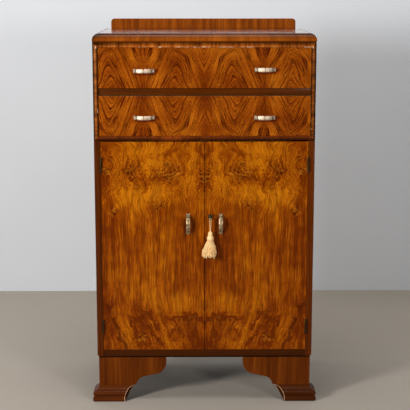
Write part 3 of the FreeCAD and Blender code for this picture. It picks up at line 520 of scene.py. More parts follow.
def arcThrough(start, middle, end, count=14):
    # points on the circle through three points, from the first to the last, without the first
    (ax, ay), (bx, by), (cx, cy) = start, middle, end
    d = 2 * (ax * (by - cy) + bx * (cy - ay) + cx * (ay - by))
    a2, b2, c2 = ax * ax + ay * ay, bx * bx + by * by, cx * cx + cy * cy
    ux = (a2 * (by - cy) + b2 * (cy - ay) + c2 * (ay - by)) / d
    uy = (a2 * (cx - bx) + b2 * (ax - cx) + c2 * (bx - ax)) / d
    first, mid, last = (math.atan2(y - uy, x - ux) for x, y in (start, middle, end))
    turn = (last - first) % circle
    if (mid - first) % circle > turn:
        turn -= circle
    angles = first + turn * np.arange(1, count + 1) / count
    radius = math.hypot(ax - ux, ay - uy)
    return np.stack([ux + radius * np.cos(angles), uy + radius * np.sin(angles)], -1)


def tracedOutline(steps):
    # a closed outline in millimetres: a step of two points is an arc through the first to the second
    here = steps[0]
    points = [np.array([here], float)]
    for step in steps[1:]:
        isArc = isinstance(step[0], tuple)
        points.append(arcThrough(here, *step) if isArc else np.array([step], float))
        here = step[1] if isArc else step
    return np.concatenate(points)


def sharpCorners(outline, radius):
    # true where the outline turns by more than the least angle between two edges that are long enough to ease
    before, after = np.roll(outline, 1, 0) - outline, np.roll(outline, -1, 0) - outline
    lengthB, lengthA = np.linalg.norm(before, axis=1), np.linalg.norm(after, axis=1)
    cosine = -(before * after).sum(1) / (lengthB * lengthA)
    turn = np.degrees(np.arccos(np.clip(cosine, -1, 1)))
    return (turn > leastTurn) & (np.minimum(lengthB, lengthA) > 3 * radius)


def eased(outline, corners, radius, reach):
    # each marked corner gives way to a small arc of that radius, with a plain point `reach` away on either side
    points = []
    for p, back, on, corner in zip(outline, np.roll(outline, 1, 0), np.roll(outline, -1, 0), corners):
        if not corner:
            points.append(p)
            continue
        b, a = (back - p) / np.linalg.norm(back - p), (on - p) / np.linalg.norm(on - p)
        w = np.array([0.0, 0.15, 0.5, 0.85, 1.0])[:, None]
        curve = (1 - w) ** 2 * (p + radius * b) + 2 * w * (1 - w) * p + w ** 2 * (p + radius * a)
        points += [p + reach * b, *curve, p + reach * a]
    return np.array(points)


def drawnIn(outline, inset):
    # each point moves inwards along the mitre of its two edges, so that every edge moves by the inset
    onward = np.roll(outline, -1, 0)
    edge = (onward - outline) / np.linalg.norm(onward - outline, axis=1)[:, None]
    area = (outline[:, 0] * onward[:, 1] - onward[:, 0] * outline[:, 1]).sum()
    normal = np.stack([-edge[:, 1], edge[:, 0]], -1) * np.sign(area)
    last = np.roll(normal, 1, 0)
    return outline + inset * (normal + last) / (1 + (normal * last).sum(1))[:, None]


def slab(name, outline, thickness, place, material, replaced=(), arris=0.8):
    # the outline, drawn in and carried round a quarter circle at the front edge, straight back, and round
    # another quarter circle at the back, all in millimetres. place(a, b, depth) turns them into metres.
    outline = np.asarray(outline, float)
    corners = sharpCorners(outline, arris)
    along = np.concatenate([[0, 0.6, 1, 1, 1, 0.6, 0] if corner else [0] for corner in corners])
    farIn = 2.6 * arris
    half = [(farIn, 0, 0), (arris, 0, 0.6), (0.5 * arris, 0.134 * arris, 1), (0.134 * arris, 0.5 * arris, 1),
            (0, arris, 0.6), (0, farIn, 0)]
    inset, depth, edge = np.array(half + [(i, thickness - d, e) for i, d, e in reversed(half)], float).T
    flat = np.stack([eased(drawnIn(outline, i), corners, max(arris - i, 0.05 * arris), 2.4 * arris) for i in inset])
    points = place(flat[..., 0], flat[..., 1], depth[:, None])
    edge = np.maximum(edge[:, None], along * (inset < farIn)[:, None])
    addPiece(name, points, tubeFaces(*flat.shape[:2]), "cabinet", [material], replaced, {"edge": edge})


def fromFront(start):
    # a runs along X and b up; depth runs back from that millimetre, counted from the doors' plane
    return lambda a, b, depth: metres(a, start + depth, b)


# Carried-over nodes that already have the right shape


def softened(name, node, body, materials):
    # a merged copy of a node whose sharp edges get a small rounding; "edge" is 1 along the roundings. A second
    # material goes on a door's edges, and on the lowest 6 mm of any other board; on the bottom board it is painted
    # shadow.
    mesh = nodes[node].data.copy()
    mesh.name = name
    mesh.materials.clear()
    for material in materials:
        mesh.materials.append(material)
    work = bmesh.new()
    work.from_mesh(mesh)
    bmesh.ops.remove_doubles(work, verts=work.verts, dist=1e-6)
    bmesh.ops.dissolve_limit(work, angle_limit=math.radians(1), verts=work.verts, edges=work.edges)
    bmesh.ops.recalc_face_normals(work, faces=work.faces)
    sharp = [e for e in work.edges if len(e.link_faces) == 2 and e.calc_face_angle(0) > math.radians(leastTurn)]
    rounded = set(bmesh.ops.bevel(work, geom=sharp, offset=boardArris * mm, segments=3, profile=0.5, affect="EDGES",
                                  clamp_overlap=True)["faces"])
    layer = work.verts.layers.float.new("edge")
    for vert in work.verts:
        vert[layer] = float(rounded.issuperset(vert.link_faces))
    low = min(vert.co.z for vert in work.verts)
    for face in work.faces:
        isSecond = abs(face.normal.y) < 0.8 if "door" in name else face.calc_center_median().z < low + 6 * mm
        face.material_index = int(len(materials) > 1 and isSecond)
    finishMesh(mesh, work, 35)
    addObject(name, mesh, body, (node,))


plainCopies = [
    ("cabinet", [straightWalnut], ["side_left", "side_right"]),
    ("cabinet", [plywood], ["back_panel"]),
    ("cabinet", [innerAcross], ["top_rail", "cupboard_top"]),
    # the bottom board's lowest strip gets painted shadow
    ("cabinet", [innerAcross, plinthPaintedShadow], ["bottom_board"]),
    ("cabinet", [innerAcross], ["shelf"]),
    ("cabinet", [innerDeep], ["shelf_bearers", "drawer_runners_and_kickers"]),
    ("cabinet", [innerAcross], ["drawer_and_door_stops"]),
    ("cabinet", [innerUpright], ["foot_blocks"]),
    ("cabinet", [darkStile], ["stile_left"]),
    ("cabinet", [rightStile], ["stile_right"]),
    ("cabinet", [lowRail], ["bottom_rail"]),
    ("cabinet", [darkRail], ["drawer_rail"]),
    ("door_left", [straightWalnut, doorEdge], ["door_left_panel"]),
    ("door_right", [straightWalnut, doorEdge], ["door_right_panel"]),
    ("door_left", [agedBrass], ["strike_plate"]),
    ("door_right", [keySteel], ["lock_case"]),
    ("lock_bolt", [keySteel], ["lock_bolt"]),
]
for drawer in ("drawer_upper", "drawer_lower"):
    plainCopies += [(drawer, [innerAcross], [drawer + "_front"]),
                    (drawer, [innerDeep], [drawer + "_side_left", drawer + "_side_right"]),
                    (drawer, [innerAcross], [drawer + "_back"]),
                    (drawer, [plywood], [drawer + "_bottom"])]
shorterNames = {"drawer_runners_and_kickers": "runnersAndKickers"}
for body, coats, copied in plainCopies:
    for node in copied:
        softened(shorterNames.get(node, camelCase(node)), node, body, coats)
print("boards eased")

for material, metalNodes in (
    (agedBrass, ["stile_hinge_leaves", "hinge_pins", "door_left_hinge_leaves", "door_right_hinge_leaves"]),
    (keySteel, ["key"]),
    (screwSteel, [body + "_handle_screws" for body in ("door_left", "door_right", "drawer_upper", "drawer_lower")]),
):
    for node in metalNodes:
        nodes[node].data.materials.clear()
        nodes[node].data.materials.append(material)


# Veneered fronts


def ripples(a, b, seed, length, count=12):
    # the sum of seeded plane waves of about that length, in all directions, brought to about -1 to 1
    rng = np.random.default_rng(seed)
    turn = rng.uniform(0, circle, count)
    pace = circle / length * rng.uniform(0.6, 1.5, count)
    phase = rng.uniform(0, circle, count)
    waves = np.sin(pace * (a[..., None] * np.cos(turn) + b[..., None] * np.sin(turn)) + phase)
    return waves.sum(-1) / math.sqrt(count)


def spot(a, b, centre, size):
    # a soft round patch: the exponential of minus half the squared distance in units of its two sizes
    return np.exp(-0.5 * (((a - centre[0]) / size[0]) ** 2 + ((b - centre[1]) / size[1]) ** 2))


def hump(value, middle, size, power=2):
    # the exponential of minus a power of the distance from the middle in units of its size
    return np.exp(-(((value - middle) / size) ** power))


def slope(value, middle, size):
    # rises from 0 to 1 about the middle, over a few sizes
    return 1 / (1 + np.exp((middle - value) / size))


doorSettings = {
    "columns": 160, "rows": 320, "height": 0.7455, "width": 0.3505,
    # each burr: distance from the meeting edge, height above the door's bottom, two sizes, strength
    "burrs": [(0.118, 0.640, 0.030, 0.019, 1.0), (0.245, 0.644, 0.019, 0.015, 0.9), (0.333, 0.645, 0.014, 0.015, 0.9),
              (0.160, 0.523, 0.020, 0.012, 0.8), (0.315, 0.508, 0.009, 0.009, 0.7), (0.010, 0.630, 0.009, 0.015, 0.8),
              (0.222, 0.050, 0.014, 0.012, 0.6), (0.085, 0.112, 0.022, 0.007, 0.5), (0.035, 0.120, 0.014, 0.007, 0.6)],
    # light and dark patches: the same first four numbers, how much and how far it leans
    "patches": [
        (0.190, 0.715, 0.055, 0.018, 0.7, 0), (0.190, 0.662, 0.024, 0.012, 0.8, 0),
        (0.175, 0.560, 0.070, 0.020, 1.1, 0), (0.290, 0.660, 0.012, 0.030, 0.4, 0),
        (0.042, 0.680, 0.012, 0.026, 0.6, 0), (0.055, 0.600, 0.018, 0.016, 0.6, 0),
        (0.310, 0.560, 0.040, 0.014, 0.4, 0), (0.240, 0.530, 0.030, 0.020, 0.6, 0),
        (0.200, 0.220, 0.060, 0.080, 0.35, 0.1), (0.100, 0.170, 0.050, 0.022, 0.6, 0),
        (0.165, 0.690, 0.008, 0.045, 0.5, -0.7), (0.160, 0.618, 0.040, 0.006, -0.8, 0),
        (0.127, 0.708, 0.014, 0.016, -0.9, -0.3), (0.265, 0.640, 0.022, 0.014, -0.7, 0),
        (0.343, 0.722, 0.012, 0.020, -0.6, 0), (0.135, 0.690, 0.008, 0.040, -0.5, -0.7),
        (0.010, 0.618, 0.012, 0.018, -1, 0), (0.012, 0.720, 0.010, 0.020, -0.6, 0),
        (0.350, 0.600, 0.016, 0.040, -0.7, 0), (0.300, 0.480, 0.020, 0.030, -0.6, 0),
        (0.150, 0.480, 0.016, 0.040, -0.4, 0), (0.345, 0.30, 0.020, 0.20, -0.5, 0),
        (0.28, 0.40, 0.045, 0.06, -0.4, 0), (0.06, 0.38, 0.05, 0.12, -0.3, 0),
        (0.255, 0.165, 0.030, 0.014, -0.5, 0.5), (0.240, 0.122, 0.036, 0.005, -0.6, 0.1),
        (0.245, 0.090, 0.008, 0.026, -1.2, 0), (0.185, 0.105, 0.005, 0.030, -1.2, 0.8),
        (0.178, 0.050, 0.006, 0.034, -1.2, 0.7), (0.205, 0.045, 0.006, 0.026, -0.8, 0.4),
        (0.070, 0.124, 0.050, 0.006, -1.4, -0.05), (0.020, 0.113, 0.028, 0.006, -1.4, 0),
        (0.110, 0.080, 0.004, 0.035, -0.9, 0.2), (0.030, 0.060, 0.006, 0.030, -0.9, 0.1),
        (0.010, 0.020, 0.020, 0.012, -1.1, 0), (0.225, 0.020, 0.010, 0.014, -0.7, 0),
        (0.140, 0.060, 0.012, 0.040, 0.6, 0.2), (0.262, 0.060, 0.010, 0.040, 0.4, 0.1),
        (0.340, 0.055, 0.016, 0.050, -0.6, 0), (0.345, 0.13, 0.010, 0.05, -0.6, 0),
        (0.10, 0.02, 0.03, 0.012, 0.5, 0)],
    # painted shadow beside the handles, partly dirt: distance from the meeting edge, half width, how dark
    "paintedHandleShadows": {-1: [(0.0365, 0.012, 0.75), (0.068, 0.008, 0.85)], 1: [(0.0415, 0.007, 0.75), (0.074, 0.008, 0.45)]},
}


def doorFigure(x, z, low, high, side):
    # growth lines stand upright, lean apart round each burr, ripple, and lean outwards near the door's bottom;
    # the value grows with the distance u from the meeting edge
    u = side * (x - (high.x if side < 0 else low.x))
    quiet = 1 - 0.72 * hump(z, 0.33, 0.16, 4)
    growth = u + quiet * (0.0040 * ripples(0.8 * u, z, 3, 0.12) + 0.0022 * ripples(u, 0.8 * z, 4, 0.035))
    growth += (1 - quiet) * 0.0012 * ripples(u, 0.5 * z, 14, 0.05)
    growth += slope(z, 0.545, 0.015) * (0.0065 * ripples(0.8 * u, z, 43, 0.10) + 0.0042 * ripples(u, z, 41, 0.045))
    lean = 0.45 * hump(u, 0.16, 0.12) + 0.12 * (1 + np.tanh((u - 0.28) / 0.05))
    growth += lean * 0.02 * np.log1p(np.exp((0.14 - z) / 0.02))
    growth -= 0.10 * np.exp(-(doorSettings["height"] - z) / 0.08) * (u - 0.16)
    bendU = u + 0.010 * ripples(u, z, 30, 0.07) + 0.005 * ripples(u, z, 31, 0.02)
    bendZ = z + 0.009 * ripples(u, z, 32, 0.08) + 0.005 * ripples(u, z, 33, 0.02)
    burr = np.zeros_like(u)
    for a, b, sizeA, sizeB, strength in doorSettings["burrs"]:
        growth = growth - 0.75 * strength * spot(u, z, (a, b), (1.7 * sizeA, 1.9 * sizeB)) * (u - a)
        burr = np.maximum(burr, strength * spot(bendU, bendZ, (a, b), (sizeA, sizeB)))
    burr = np.clip(burr * (1 + 0.35 * ripples(u, z, 8, 0.03)), 0, 1)
    # painted shade: the tone falls towards the door's bottom
    tone = (0.30 * (z / doorSettings["height"] - 0.5) + 0.14 * ripples(u, 0.35 * z, 5, 0.13)
            + 0.10 * ripples(u, z, 6, 0.05) + 0.12 * ripples(side * u, z, 12, 0.22))
    for a, b, sizeA, sizeB, amount, slant in doorSettings["patches"]:
        tone += amount * spot(bendU - slant * (bendZ - b), bendZ, (a, b), (sizeA, sizeB))
    # darker again over the lowest 130 mm
    tone -= 0.12 * (1 - slope(z, 0.130, 0.022))
    # the right door is darker in the middle, with a painted highlight along its outer edge and a dark line beside the
    # meeting edge
    if side > 0:
        tone += 0.5 * slope(u, doorSettings["width"], 0.0006) - 0.7 * hump(u, 0.0045, 0.0018)
        tone -= 0.15 * hump(z, 0.33, 0.12, 4)
    # a dark seam leans from the outer edge to the bottom, and painted shadow, partly dirt, lies beside the handles
    wisp = 0.9 * hump(0.5 * (bendU + u) + 0.40 * (0.165 - z), 0.343, 0.007) * ((z < 0.17) & (z > 0.0))
    for a, sizeA, amount in doorSettings["paintedHandleShadows"][side]:
        wisp = np.maximum(wisp, amount * hump(u, a, sizeA) * hump(z, 0.444, 0.037, 4))
    mottle = 0.2 + 0.8 * hump(z, 0.63, 0.09, 4) + 0.4 * hump(z, 0.05, 0.09, 4)
    return u, z, growth, burr, tone, np.clip(wisp, 0, 0.85), mottle


drawerSettings = {
    "columns": 300, "rows": 70, "leaf": 0.207,
    # where each leaf's arch peaks, to the right of the leaf's middle, from left to right
    "shift": {"upper": [-0.012, -0.004, -0.006, 0.012], "lower": [-0.012, 0.0, 0.004, 0.010]},
    "handles": {"upper": [(-0.207, 1.1775), (0.207, 1.1815)], "lower": [(-0.207, 1.018), (0.207, 1.018)]},
    "toneSeed": {"upper": 25, "lower": 26},
}


def drawerFigure(x, z, low, high, which):
    # leaves side by side, each the mirror of the next; in a leaf the growth lines are pointed arches: with d the
    # distance from the arch's middle, the value is the height + 1.5 d + 9 d^2 + 0.043. Painted shadow lies under
    # and beside the handles.
    leaf = drawerSettings["leaf"]
    s = np.abs((x + leaf) % (2 * leaf) - leaf)
    up = high.z - low.z - z if which == "lower" else z
    peak = 0.5 * leaf + np.array(drawerSettings["shift"][which])[np.clip(np.floor(x / leaf).astype(int) + 2, 0, 3)]
    d = np.hypot(s - peak + 0.005 * ripples(s, up, 20, 0.10), 0.004)
    growth = 0.043 + up + 1.5 * d + 9 * d ** 2 + 0.0055 * ripples(s, up, 21, 0.09) + 0.0016 * ripples(x, z, 22, 0.03)
    tone = 0.22 * ripples(s, up, 23, 0.07) + 0.26 * ripples(x, z, drawerSettings["toneSeed"][which], 0.20)
    tone += 0.30 * hump(d, 0.055, 0.022) - 0.45 * hump(d, 0.105, 0.014)
    # painted shadow: a dark band just under each handle and a spot beyond its right end
    for centre, height in drawerSettings["handles"][which]:
        rise = z - (height - low.z)
        tone -= 1.6 * hump(x, centre + 0.004, 0.036, 8) * hump(rise, -0.0105, 0.004)
        tone -= 1.3 * hump(x, centre + 0.043, 0.008) * hump(rise, 0, 0.008)
    burr = 0.10 * hump(d, 0, 0.035) * np.exp(-up / 0.03)
    return s, up, growth, burr, tone, 0 * d, 0.6 + 0 * d


def veneerSheet(name, node, body, settings, figure, which, material):
    # a sheet on a board's front: a grid over the face, whose border columns and rows turn back round a small
    # arc. The figure gives the leaf's own x and z, growth, burr, tone, wisps and mottle at each point; tone and wisps
    # carry painted shade and shadows.
    thickness, arris = veneer * mm, veneerArris * mm
    low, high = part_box(node)

    def stations(start, end, count):
        turn = np.radians([0, 30, 60, 90])
        edge, back = arris * (1 - np.cos(turn)), arris * (1 - np.sin(turn))
        inside = np.linspace(start + 2.5 * arris, end - 2.5 * arris, count)
        value = np.concatenate([[start], start + edge, inside, end - edge[::-1], [end]])
        depth = np.concatenate([[thickness], back, np.zeros(count), back[::-1], [thickness]])
        worn = np.concatenate([[0.3, 0.8, 1, 1, 0.7], np.zeros(count), [0.7, 1, 1, 0.8, 0.3]])
        return value, depth, worn

    (xs, *across), (zs, *upward) = (stations(low.x, high.x, settings["columns"]),
                                    stations(low.z, high.z, settings["rows"]))
    x, z = np.meshgrid(xs, zs)
    depth, edge = (np.maximum(*np.meshgrid(a, b)) for a, b in zip(across, upward))
    points = np.stack([x, faceY - thickness + depth, z], -1)
    number = np.arange(x.size).reshape(x.shape)
    rim = np.concatenate([number[0, :-1], number[:-1, -1], number[-1, :0:-1], number[:0:-1, 0]])
    *leafAndLook, mottle = figure(x, z - low.z, low, high, which)
    values = {"leaf": np.stack(leafAndLook[:3], -1), "look": np.stack(leafAndLook[3:], -1), "mottle": mottle,
              "edge": edge}
    addPiece(name, points, gridFaces(*x.shape).tolist() + [rim.tolist()], body, [material], values=values, angle=50,
             merge=False)


for side, word in ((-1, "left"), (1, "right")):
    veneerSheet("door" + word.title() + "Veneer", "door_" + word + "_panel", "door_" + word, doorSettings,
                doorFigure, side, doorVeneer)
for word in ("upper", "lower"):
    veneerSheet("drawer" + word.title() + "Veneer", "drawer_" + word + "_front", "drawer_" + word, drawerSettings,
                drawerFigure, word, drawerVeneer)
print("veneers laid")


# Top board, gallery and frame mouldings

topSettings = {
    "lip": 3.0, "endInset": 2.2, "counts": (24, 40, 24, 6),
    # painted shade along the front: how much darker, at millimetres from the middle
    "dim": [(-402, 0.88), (-386, 0.78), (-366, 0.5), (-340, 0.06), (-100, 0.06), (60, -0.05), (160, -0.05), (230, 0.1),
            (350, 0.12), (385, 0.35), (402, 0.55)]}


def makeTop():
    # the outline in plan carried up the lip and round a quarter circle; every ring is drawn in from the front
    # and the ends, but not from the back
    s = topSettings
    low, high = span("top_board")
    low[0], high[0] = low[0] + s["endInset"], high[0] - s["endInset"]
    radius = high[2] - low[2] - s["lip"]
    turn = np.radians(np.linspace(0, 90, 15))
    inset = np.concatenate([[3.0, 0.6, 0.0, 0.0], radius * (1 - np.cos(turn)), [radius + 6]])
    height = np.concatenate([[0.0, 0.0, 0.6, 2.0], s["lip"] + radius * np.sin(turn), [s["lip"] + radius]])
    worn = np.concatenate([[0, 1, 1, 0], np.zeros(16)])
    corners = np.array([(low[0], high[1]), (low[0], low[1]), (high[0], low[1]), (high[0], high[1])])
    inward = np.array([(1, 0), (1, 1), (-1, 1), (-1, 0)], float)
    plan, length, start = [], [], 0.0
    for i, count in enumerate(s["counts"]):
        w = np.linspace(0, 1, count, endpoint=False)[:, None]
        ends = np.concatenate([corners, inward], 1)[[i, (i + 1) % 4]]
        plan.append(ends[0] + w * (ends[1] - ends[0]))
        distance = np.linalg.norm(corners[(i + 1) % 4] - corners[i])
        length.append(start + w[:, 0] * distance)
        start += distance
    plan, length = np.concatenate(plan), np.concatenate(length)
    x, y = (plan[:, axis] + inset[:, None] * plan[:, axis + 2] for axis in (0, 1))
    z = np.broadcast_to(low[2] + height[:, None], x.shape)
    rings, n = x.shape
    run = np.stack([length * mm + 0 * x, 0 * x, z * mm], -1)
    # painted shade: darker towards the top of the front round, darker by the list along the front edge, and a little
    # over the top surface
    fromFrontEdge = np.clip((y - low[1] - radius) / 30, 0, 1)
    dim = 0.70 * np.clip((z - low[2] - 9) / 16, 0, 1) ** 0.8 * (1 - 0.6 * fromFrontEdge)
    dim = np.minimum(dim + np.interp(x, *zip(*s["dim"])) * (1 - fromFrontEdge) + 0.1 * fromFrontEdge, 0.95)
    values = {"run": run, "edge": worn[:, None] + 0 * x, "dim": dim}
    addPiece("topBoard", metres(x, y, z), tubeFaces(rings, n), "cabinet", [edgeBanding, topWalnut], ("top_board",),
             values, [0] * (rings - 2) * n + [1] * (n + 2), angle=50)


makeTop()

gallerySettings = {"corner": 13.0, "arris": 1.3}


def makeGallery():
    # a board with its two upper corners rounded
    low, high = span("back_gallery")
    r = gallerySettings["corner"]
    bevel = r * (1 - math.sqrt(0.5))
    outline = tracedOutline([
        (low[0], low[2]), (high[0], low[2]), (high[0], high[2] - r),
        ((high[0] - bevel, high[2] - bevel), (high[0] - r, high[2])), (low[0] + r, high[2]),
        ((low[0] + bevel, high[2] - bevel), (low[0], high[2] - r))])
    slab("gallery", outline, high[1] - low[1], fromFront(low[1]), galleryWalnut, ("back_gallery",),
         gallerySettings["arris"])


makeGallery()

frameSettings = {"width": 16.0, "back": 4.0, "proud": 5.5, "crown": 3.9, "fall": 2.0, "arris": 0.7, "quirk": 4.5}


def frameProfile():
    # across the moulding from its inner face: up the face, round the small arris, and over a curve that falls
    # away to the outer corner. Returns across, depth and wear.
    s = frameSettings
    r = s["arris"]
    turn = np.radians(np.linspace(0, 90, 5))
    crown = arcThrough((r, -s["proud"]), (s["width"] / 2, -s["crown"]), (s["width"], s["fall"]), 16)
    across = np.concatenate([[0, 0], r * (1 - np.cos(turn)), crown[:, 0], [s["width"]]])
    depth = np.concatenate([[s["back"], -s["proud"] + 2.5 * r], -s["proud"] + r * (1 - np.sin(turn)), crown[:, 1],
                            [s["back"]]])
    crownWear = np.interp(crown[:, 0], [1.5, 3.5, 6, 14, 16], [0.95, 0.8, 0, 0, 0.2])
    return across, depth, np.concatenate([[0, 0, 0.7, 1, 1, 1, 1], crownWear, [0.0]])


def makeFrame(name, node, corner, onward, out, length, count, material, shade, worn, crest, pale=()):
    # the profile is carried from one mitre to the other: from the inner corner, onwards over the length, and at
    # each end as far further as a point lies out from the inner edge. Shade and worn are pairs of a share of the
    # length and a value, shade being painted shade (painted highlight where negative); crest is the
    # same across the moulding, in millimetres; pale holds places of painted highlight spots and their
    # reach in millimetres.
    across, depth, wear = frameProfile()
    t = np.linspace(0, 1, count)[:, None]
    along = t * (length + 2 * across) - across
    x, z = (corner[i] + along * onward[i] + across * out[i] for i in (0, 1))
    endWear = 0.9 * np.exp(-np.minimum(t, 1 - t) * length / 1.5)
    edge = np.maximum(wear - np.interp(t, *zip(*worn)), endWear)
    # painted highlight spots on the crown, laid on as bare pale wood through the edge value
    for place, reach in pale:
        edge = np.maximum(edge, 1.15 * hump(t, place, reach / length) * hump(across, 3.5, 2.5, 4))
    run = np.stack([along, 0 * along, across + 0 * along], -1) * mm
    # painted shade across and along the moulding
    dim = np.interp(across, *zip(*crest)) + np.interp(t, *zip(*shade))
    addPiece(name, metres(x, depth, z), tubeFaces(count, len(across)), "cabinet", [material], (node,),
             {"run": run, "edge": edge, "dim": dim}, angle=50)


# painted shade across a moulding, by millimetres from its inner edge; negative values are painted highlight
besideArris = [(0, -0.25), (3.5, -0.15), (7, 0.25), (16, 0.72)]
middleCrest = [(0, 0.45), (2, 0.25), (4.5, -0.32), (9.5, -0.28), (12.5, 0.3), (16, 0.65)]
low, high = span("frame_moulding_top")
frameLow, frameHalf = span("waist_strip")[1][2], span("frame_moulding_right")[0][0]
quirkLow = high[2] - frameSettings["quirk"]
frameHigh = quirkLow - frameSettings["width"]
# painted shade along each moulding, and painted highlight spots at the uprights' tops
for side, word in ((-1, "left"), (1, "right")):
    makeFrame("frame" + word.title(), "frame_moulding_" + word, (side * frameHalf, frameLow), (0, 1), (side, 0),
              frameHigh - frameLow, 90, frameBanding, [(0, 0.46)], [(0, 0.1)], middleCrest, [(1, 14), (0.985, 8)])
makeFrame("frameTop", "frame_moulding_top", (-frameHalf, frameHigh), (1, 0), (0, 1), 2 * frameHalf, 160, frameBanding,
          [(0, 0.32), (0.05, 0.13), (0.10, -0.1), (0.2, -0.16), (0.26, -0.34), (0.33, -0.30), (0.39, -0.12),
           (0.5, -0.28), (0.56, -0.1), (0.63, -0.18), (0.72, -0.28), (0.8, -0.06), (1, -0.02)],
          [(0, 0.35), (0.12, 0.22), (0.2, 0.06), (0.28, -0.02), (0.4, 0.04), (0.5, 0.0), (0.72, 0.0), (0.78, 0.12),
           (0.9, 0.10), (0.95, 0.0), (1, -0.05)], besideArris)
makeFrame("frameWaist", "waist_strip", (-frameHalf, frameLow), (1, 0), (0, -1), 2 * frameHalf, 160, waistBanding,
          [(0, 0.0), (0.06, 0.15), (0.24, 0.15), (0.29, -0.1), (0.335, -0.75), (0.37, -0.55), (0.41, -0.05),
           (0.5, 0.08), (0.7, 0.18), (1, 0.18)], [(0, 0.1), (0.3, -0.02), (0.4, 0.08), (1, 0.1)], besideArris)
slab("frameQuirk", [(low[0], quirkLow), (high[0], quirkLow), (high[0], high[2]), (low[0], high[2])], 3, fromFront(1),
     darkRail, arris=0.25)
print("top and frame made")


# Feet and their mouldings

footSettings = {"face": 376.5, "setback": 4.5, "height": 159.0, "thickness": 20.0, "frontReach": 240.0,
                "sideReach": 172.0, "stretch": 0.85, "depth": 457.0, "backReach": 110.0, "backBase": 60.0}
baseSettings = {
    # outward and up, from the foot's face
    "profile": [(0, 56), (1.5, 56), ((4.5, 46.5), (13.5, 41)), (15, 41), (15, 38.5), ((21.2, 30), (16.4, 22)),
                ((21.6, 10), (18, 0)), (0, 0)],
    "heel": [(148, 6), (133, 46.5), (107, 58)], "columns": 30}


def footPlaces(side):
    # a runs from the foot's corner along its face, b up, and depth inwards from the face: for the front, the
    # side behind it, the side of the back foot and the bracket across the back
    f = footSettings
    return (lambda a, b, depth: metres(side * (f["face"] - a), f["setback"] + depth, b),
            lambda a, b, depth: metres(side * (f["face"] - depth), f["setback"] + a, b),
            lambda a, b, depth: metres(side * (f["face"] - depth), f["depth"] - a, b),
            lambda a, b, depth: metres(side * (f["face"] - a), f["depth"] - f["thickness"] + depth, b))


def bracketOutline(reach, stretch, start=0.0):
    # the floor, heel hollow, cusp, hollow, ramp, convex swell, short drop and the top edge
    def at(a, b):
        return (reach - a * stretch, b)

    return tracedOutline([
        (start, 0), at(148, 0), at(148, 6), (at(133, 46.5), at(107, 58)), (at(99, 76), at(84, 86)), at(44, 95.5),
        (at(11, 111), (reach, 138)), (reach, footSettings["height"]), (start, footSettings["height"])])


def makeBase(name, node, legs, material, upperEdge):
    # each leg, given as place, reach, stretch and mitred, carries the moulding's profile from its sawn end, which
    # follows the foot's heel, to the corner, where it is mitred; the sawn end is closed flat, inside a narrow rim
    profile = tracedOutline(baseSettings["profile"])
    rim = drawnIn(profile, 1.0)
    n, cols = len(profile), baseSettings["columns"]
    heel = np.concatenate([[(148, 0), (148, 6)], arcThrough(*baseSettings["heel"], 40)])
    # edge wear by height; at the fillet's arris, 38 to 41.5 mm up, it is a painted highlight line set by upperEdge
    arris = np.interp(profile[:, 1], [0, 3, 8, 20, 23, 36, 38, 41.5, 44],
                      [0.85, 0.68, 0.35, 0.3, 0.3, 0.35, upperEdge - 0.05, upperEdge, 0.2])
    ring = np.stack([profile] * cols + [rim])
    points, faces, edges, runs = [], [], [], []
    for i, (place, reach, stretch, mitred) in enumerate(legs):
        sawn, rimEnd = (reach - stretch * np.interp(shape[:, 1], heel[:, 1], heel[:, 0]) for shape in (profile, rim))
        corner = -profile[:, 0] * mitred
        along = sawn + np.linspace(0, 1, cols)[:, None] ** 1.6 * (corner - sawn)
        allAlong = np.vstack([along, rimEnd])
        points.append(place(allAlong, ring[..., 1], -ring[..., 0]))
        runs.append(np.stack([ring[..., 1], ring[..., 0], allAlong], -1) * mm)
        atEnd = 1.6 * np.exp(-np.abs(along - sawn) / 4.0)
        atCorner = 0.85 * np.exp(-np.abs(along - corner) / 2.5)
        edges.append(np.vstack([np.maximum(np.maximum(atEnd, atCorner), arris), np.zeros(n)]))
        number = np.arange((cols + 1) * n).reshape(-1, n) + i * (cols + 1) * n
        between = np.stack([number[0], np.roll(number[0], -1), np.roll(number[-1], -1), number[-1]], -1)
        faces += (gridFaces(cols, n, wrapCols=True) + number[0, 0]).tolist() + between.tolist()
        faces += [number[-1].tolist(), number[-2].tolist()]
    points, edges = np.stack(points), np.stack(edges)
    addPiece(name, points, faces, "cabinet", [material], (node,),
             {"edge": edges, "run": np.stack(runs), "dim": 0 * edges}, angle=42)


# the right moulding gets the darker painted-shade copy of the finish and a stronger painted highlight line
for side, label, material, upperEdge in ((-1, "Left", baseBanding, 0.65), (1, "Right", rightBase, 0.93)):
    f, foot = footSettings, label.lower()
    front, frontSide, backSide, acrossBack = footPlaces(side)
    slab("footFront" + label, bracketOutline(f["frontReach"], 1.0), f["thickness"], front, footWalnut,
         ("foot_front_" + foot,))
    slab("footFrontSide" + label, bracketOutline(f["sideReach"], f["stretch"], f["thickness"]), f["thickness"],
         frontSide, footWalnut)
    slab("footBackSide" + label, bracketOutline(f["sideReach"], f["stretch"]), f["thickness"], backSide, footWalnut,
         ("foot_back_" + foot,))
    slab("footBack" + label, [(f["thickness"], 0), (f["backBase"], 0), (f["backReach"], 138),
                              (f["backReach"], f["height"]), (f["thickness"], f["height"])],
         f["thickness"], acrossBack, footWalnut)
    makeBase("base" + label, "base_moulding_" + foot, [(front, f["frontReach"], 1.0, True),
                                                      (frontSide, f["sideReach"], f["stretch"], True)],
             material, upperEdge)
makeBase("baseBack", "base_moulding_back",
         [(footPlaces(side)[2], footSettings["sideReach"], footSettings["stretch"], False) for side in (-1, 1)],
         baseBanding, 0.68)
print("feet made")


# Bow handles

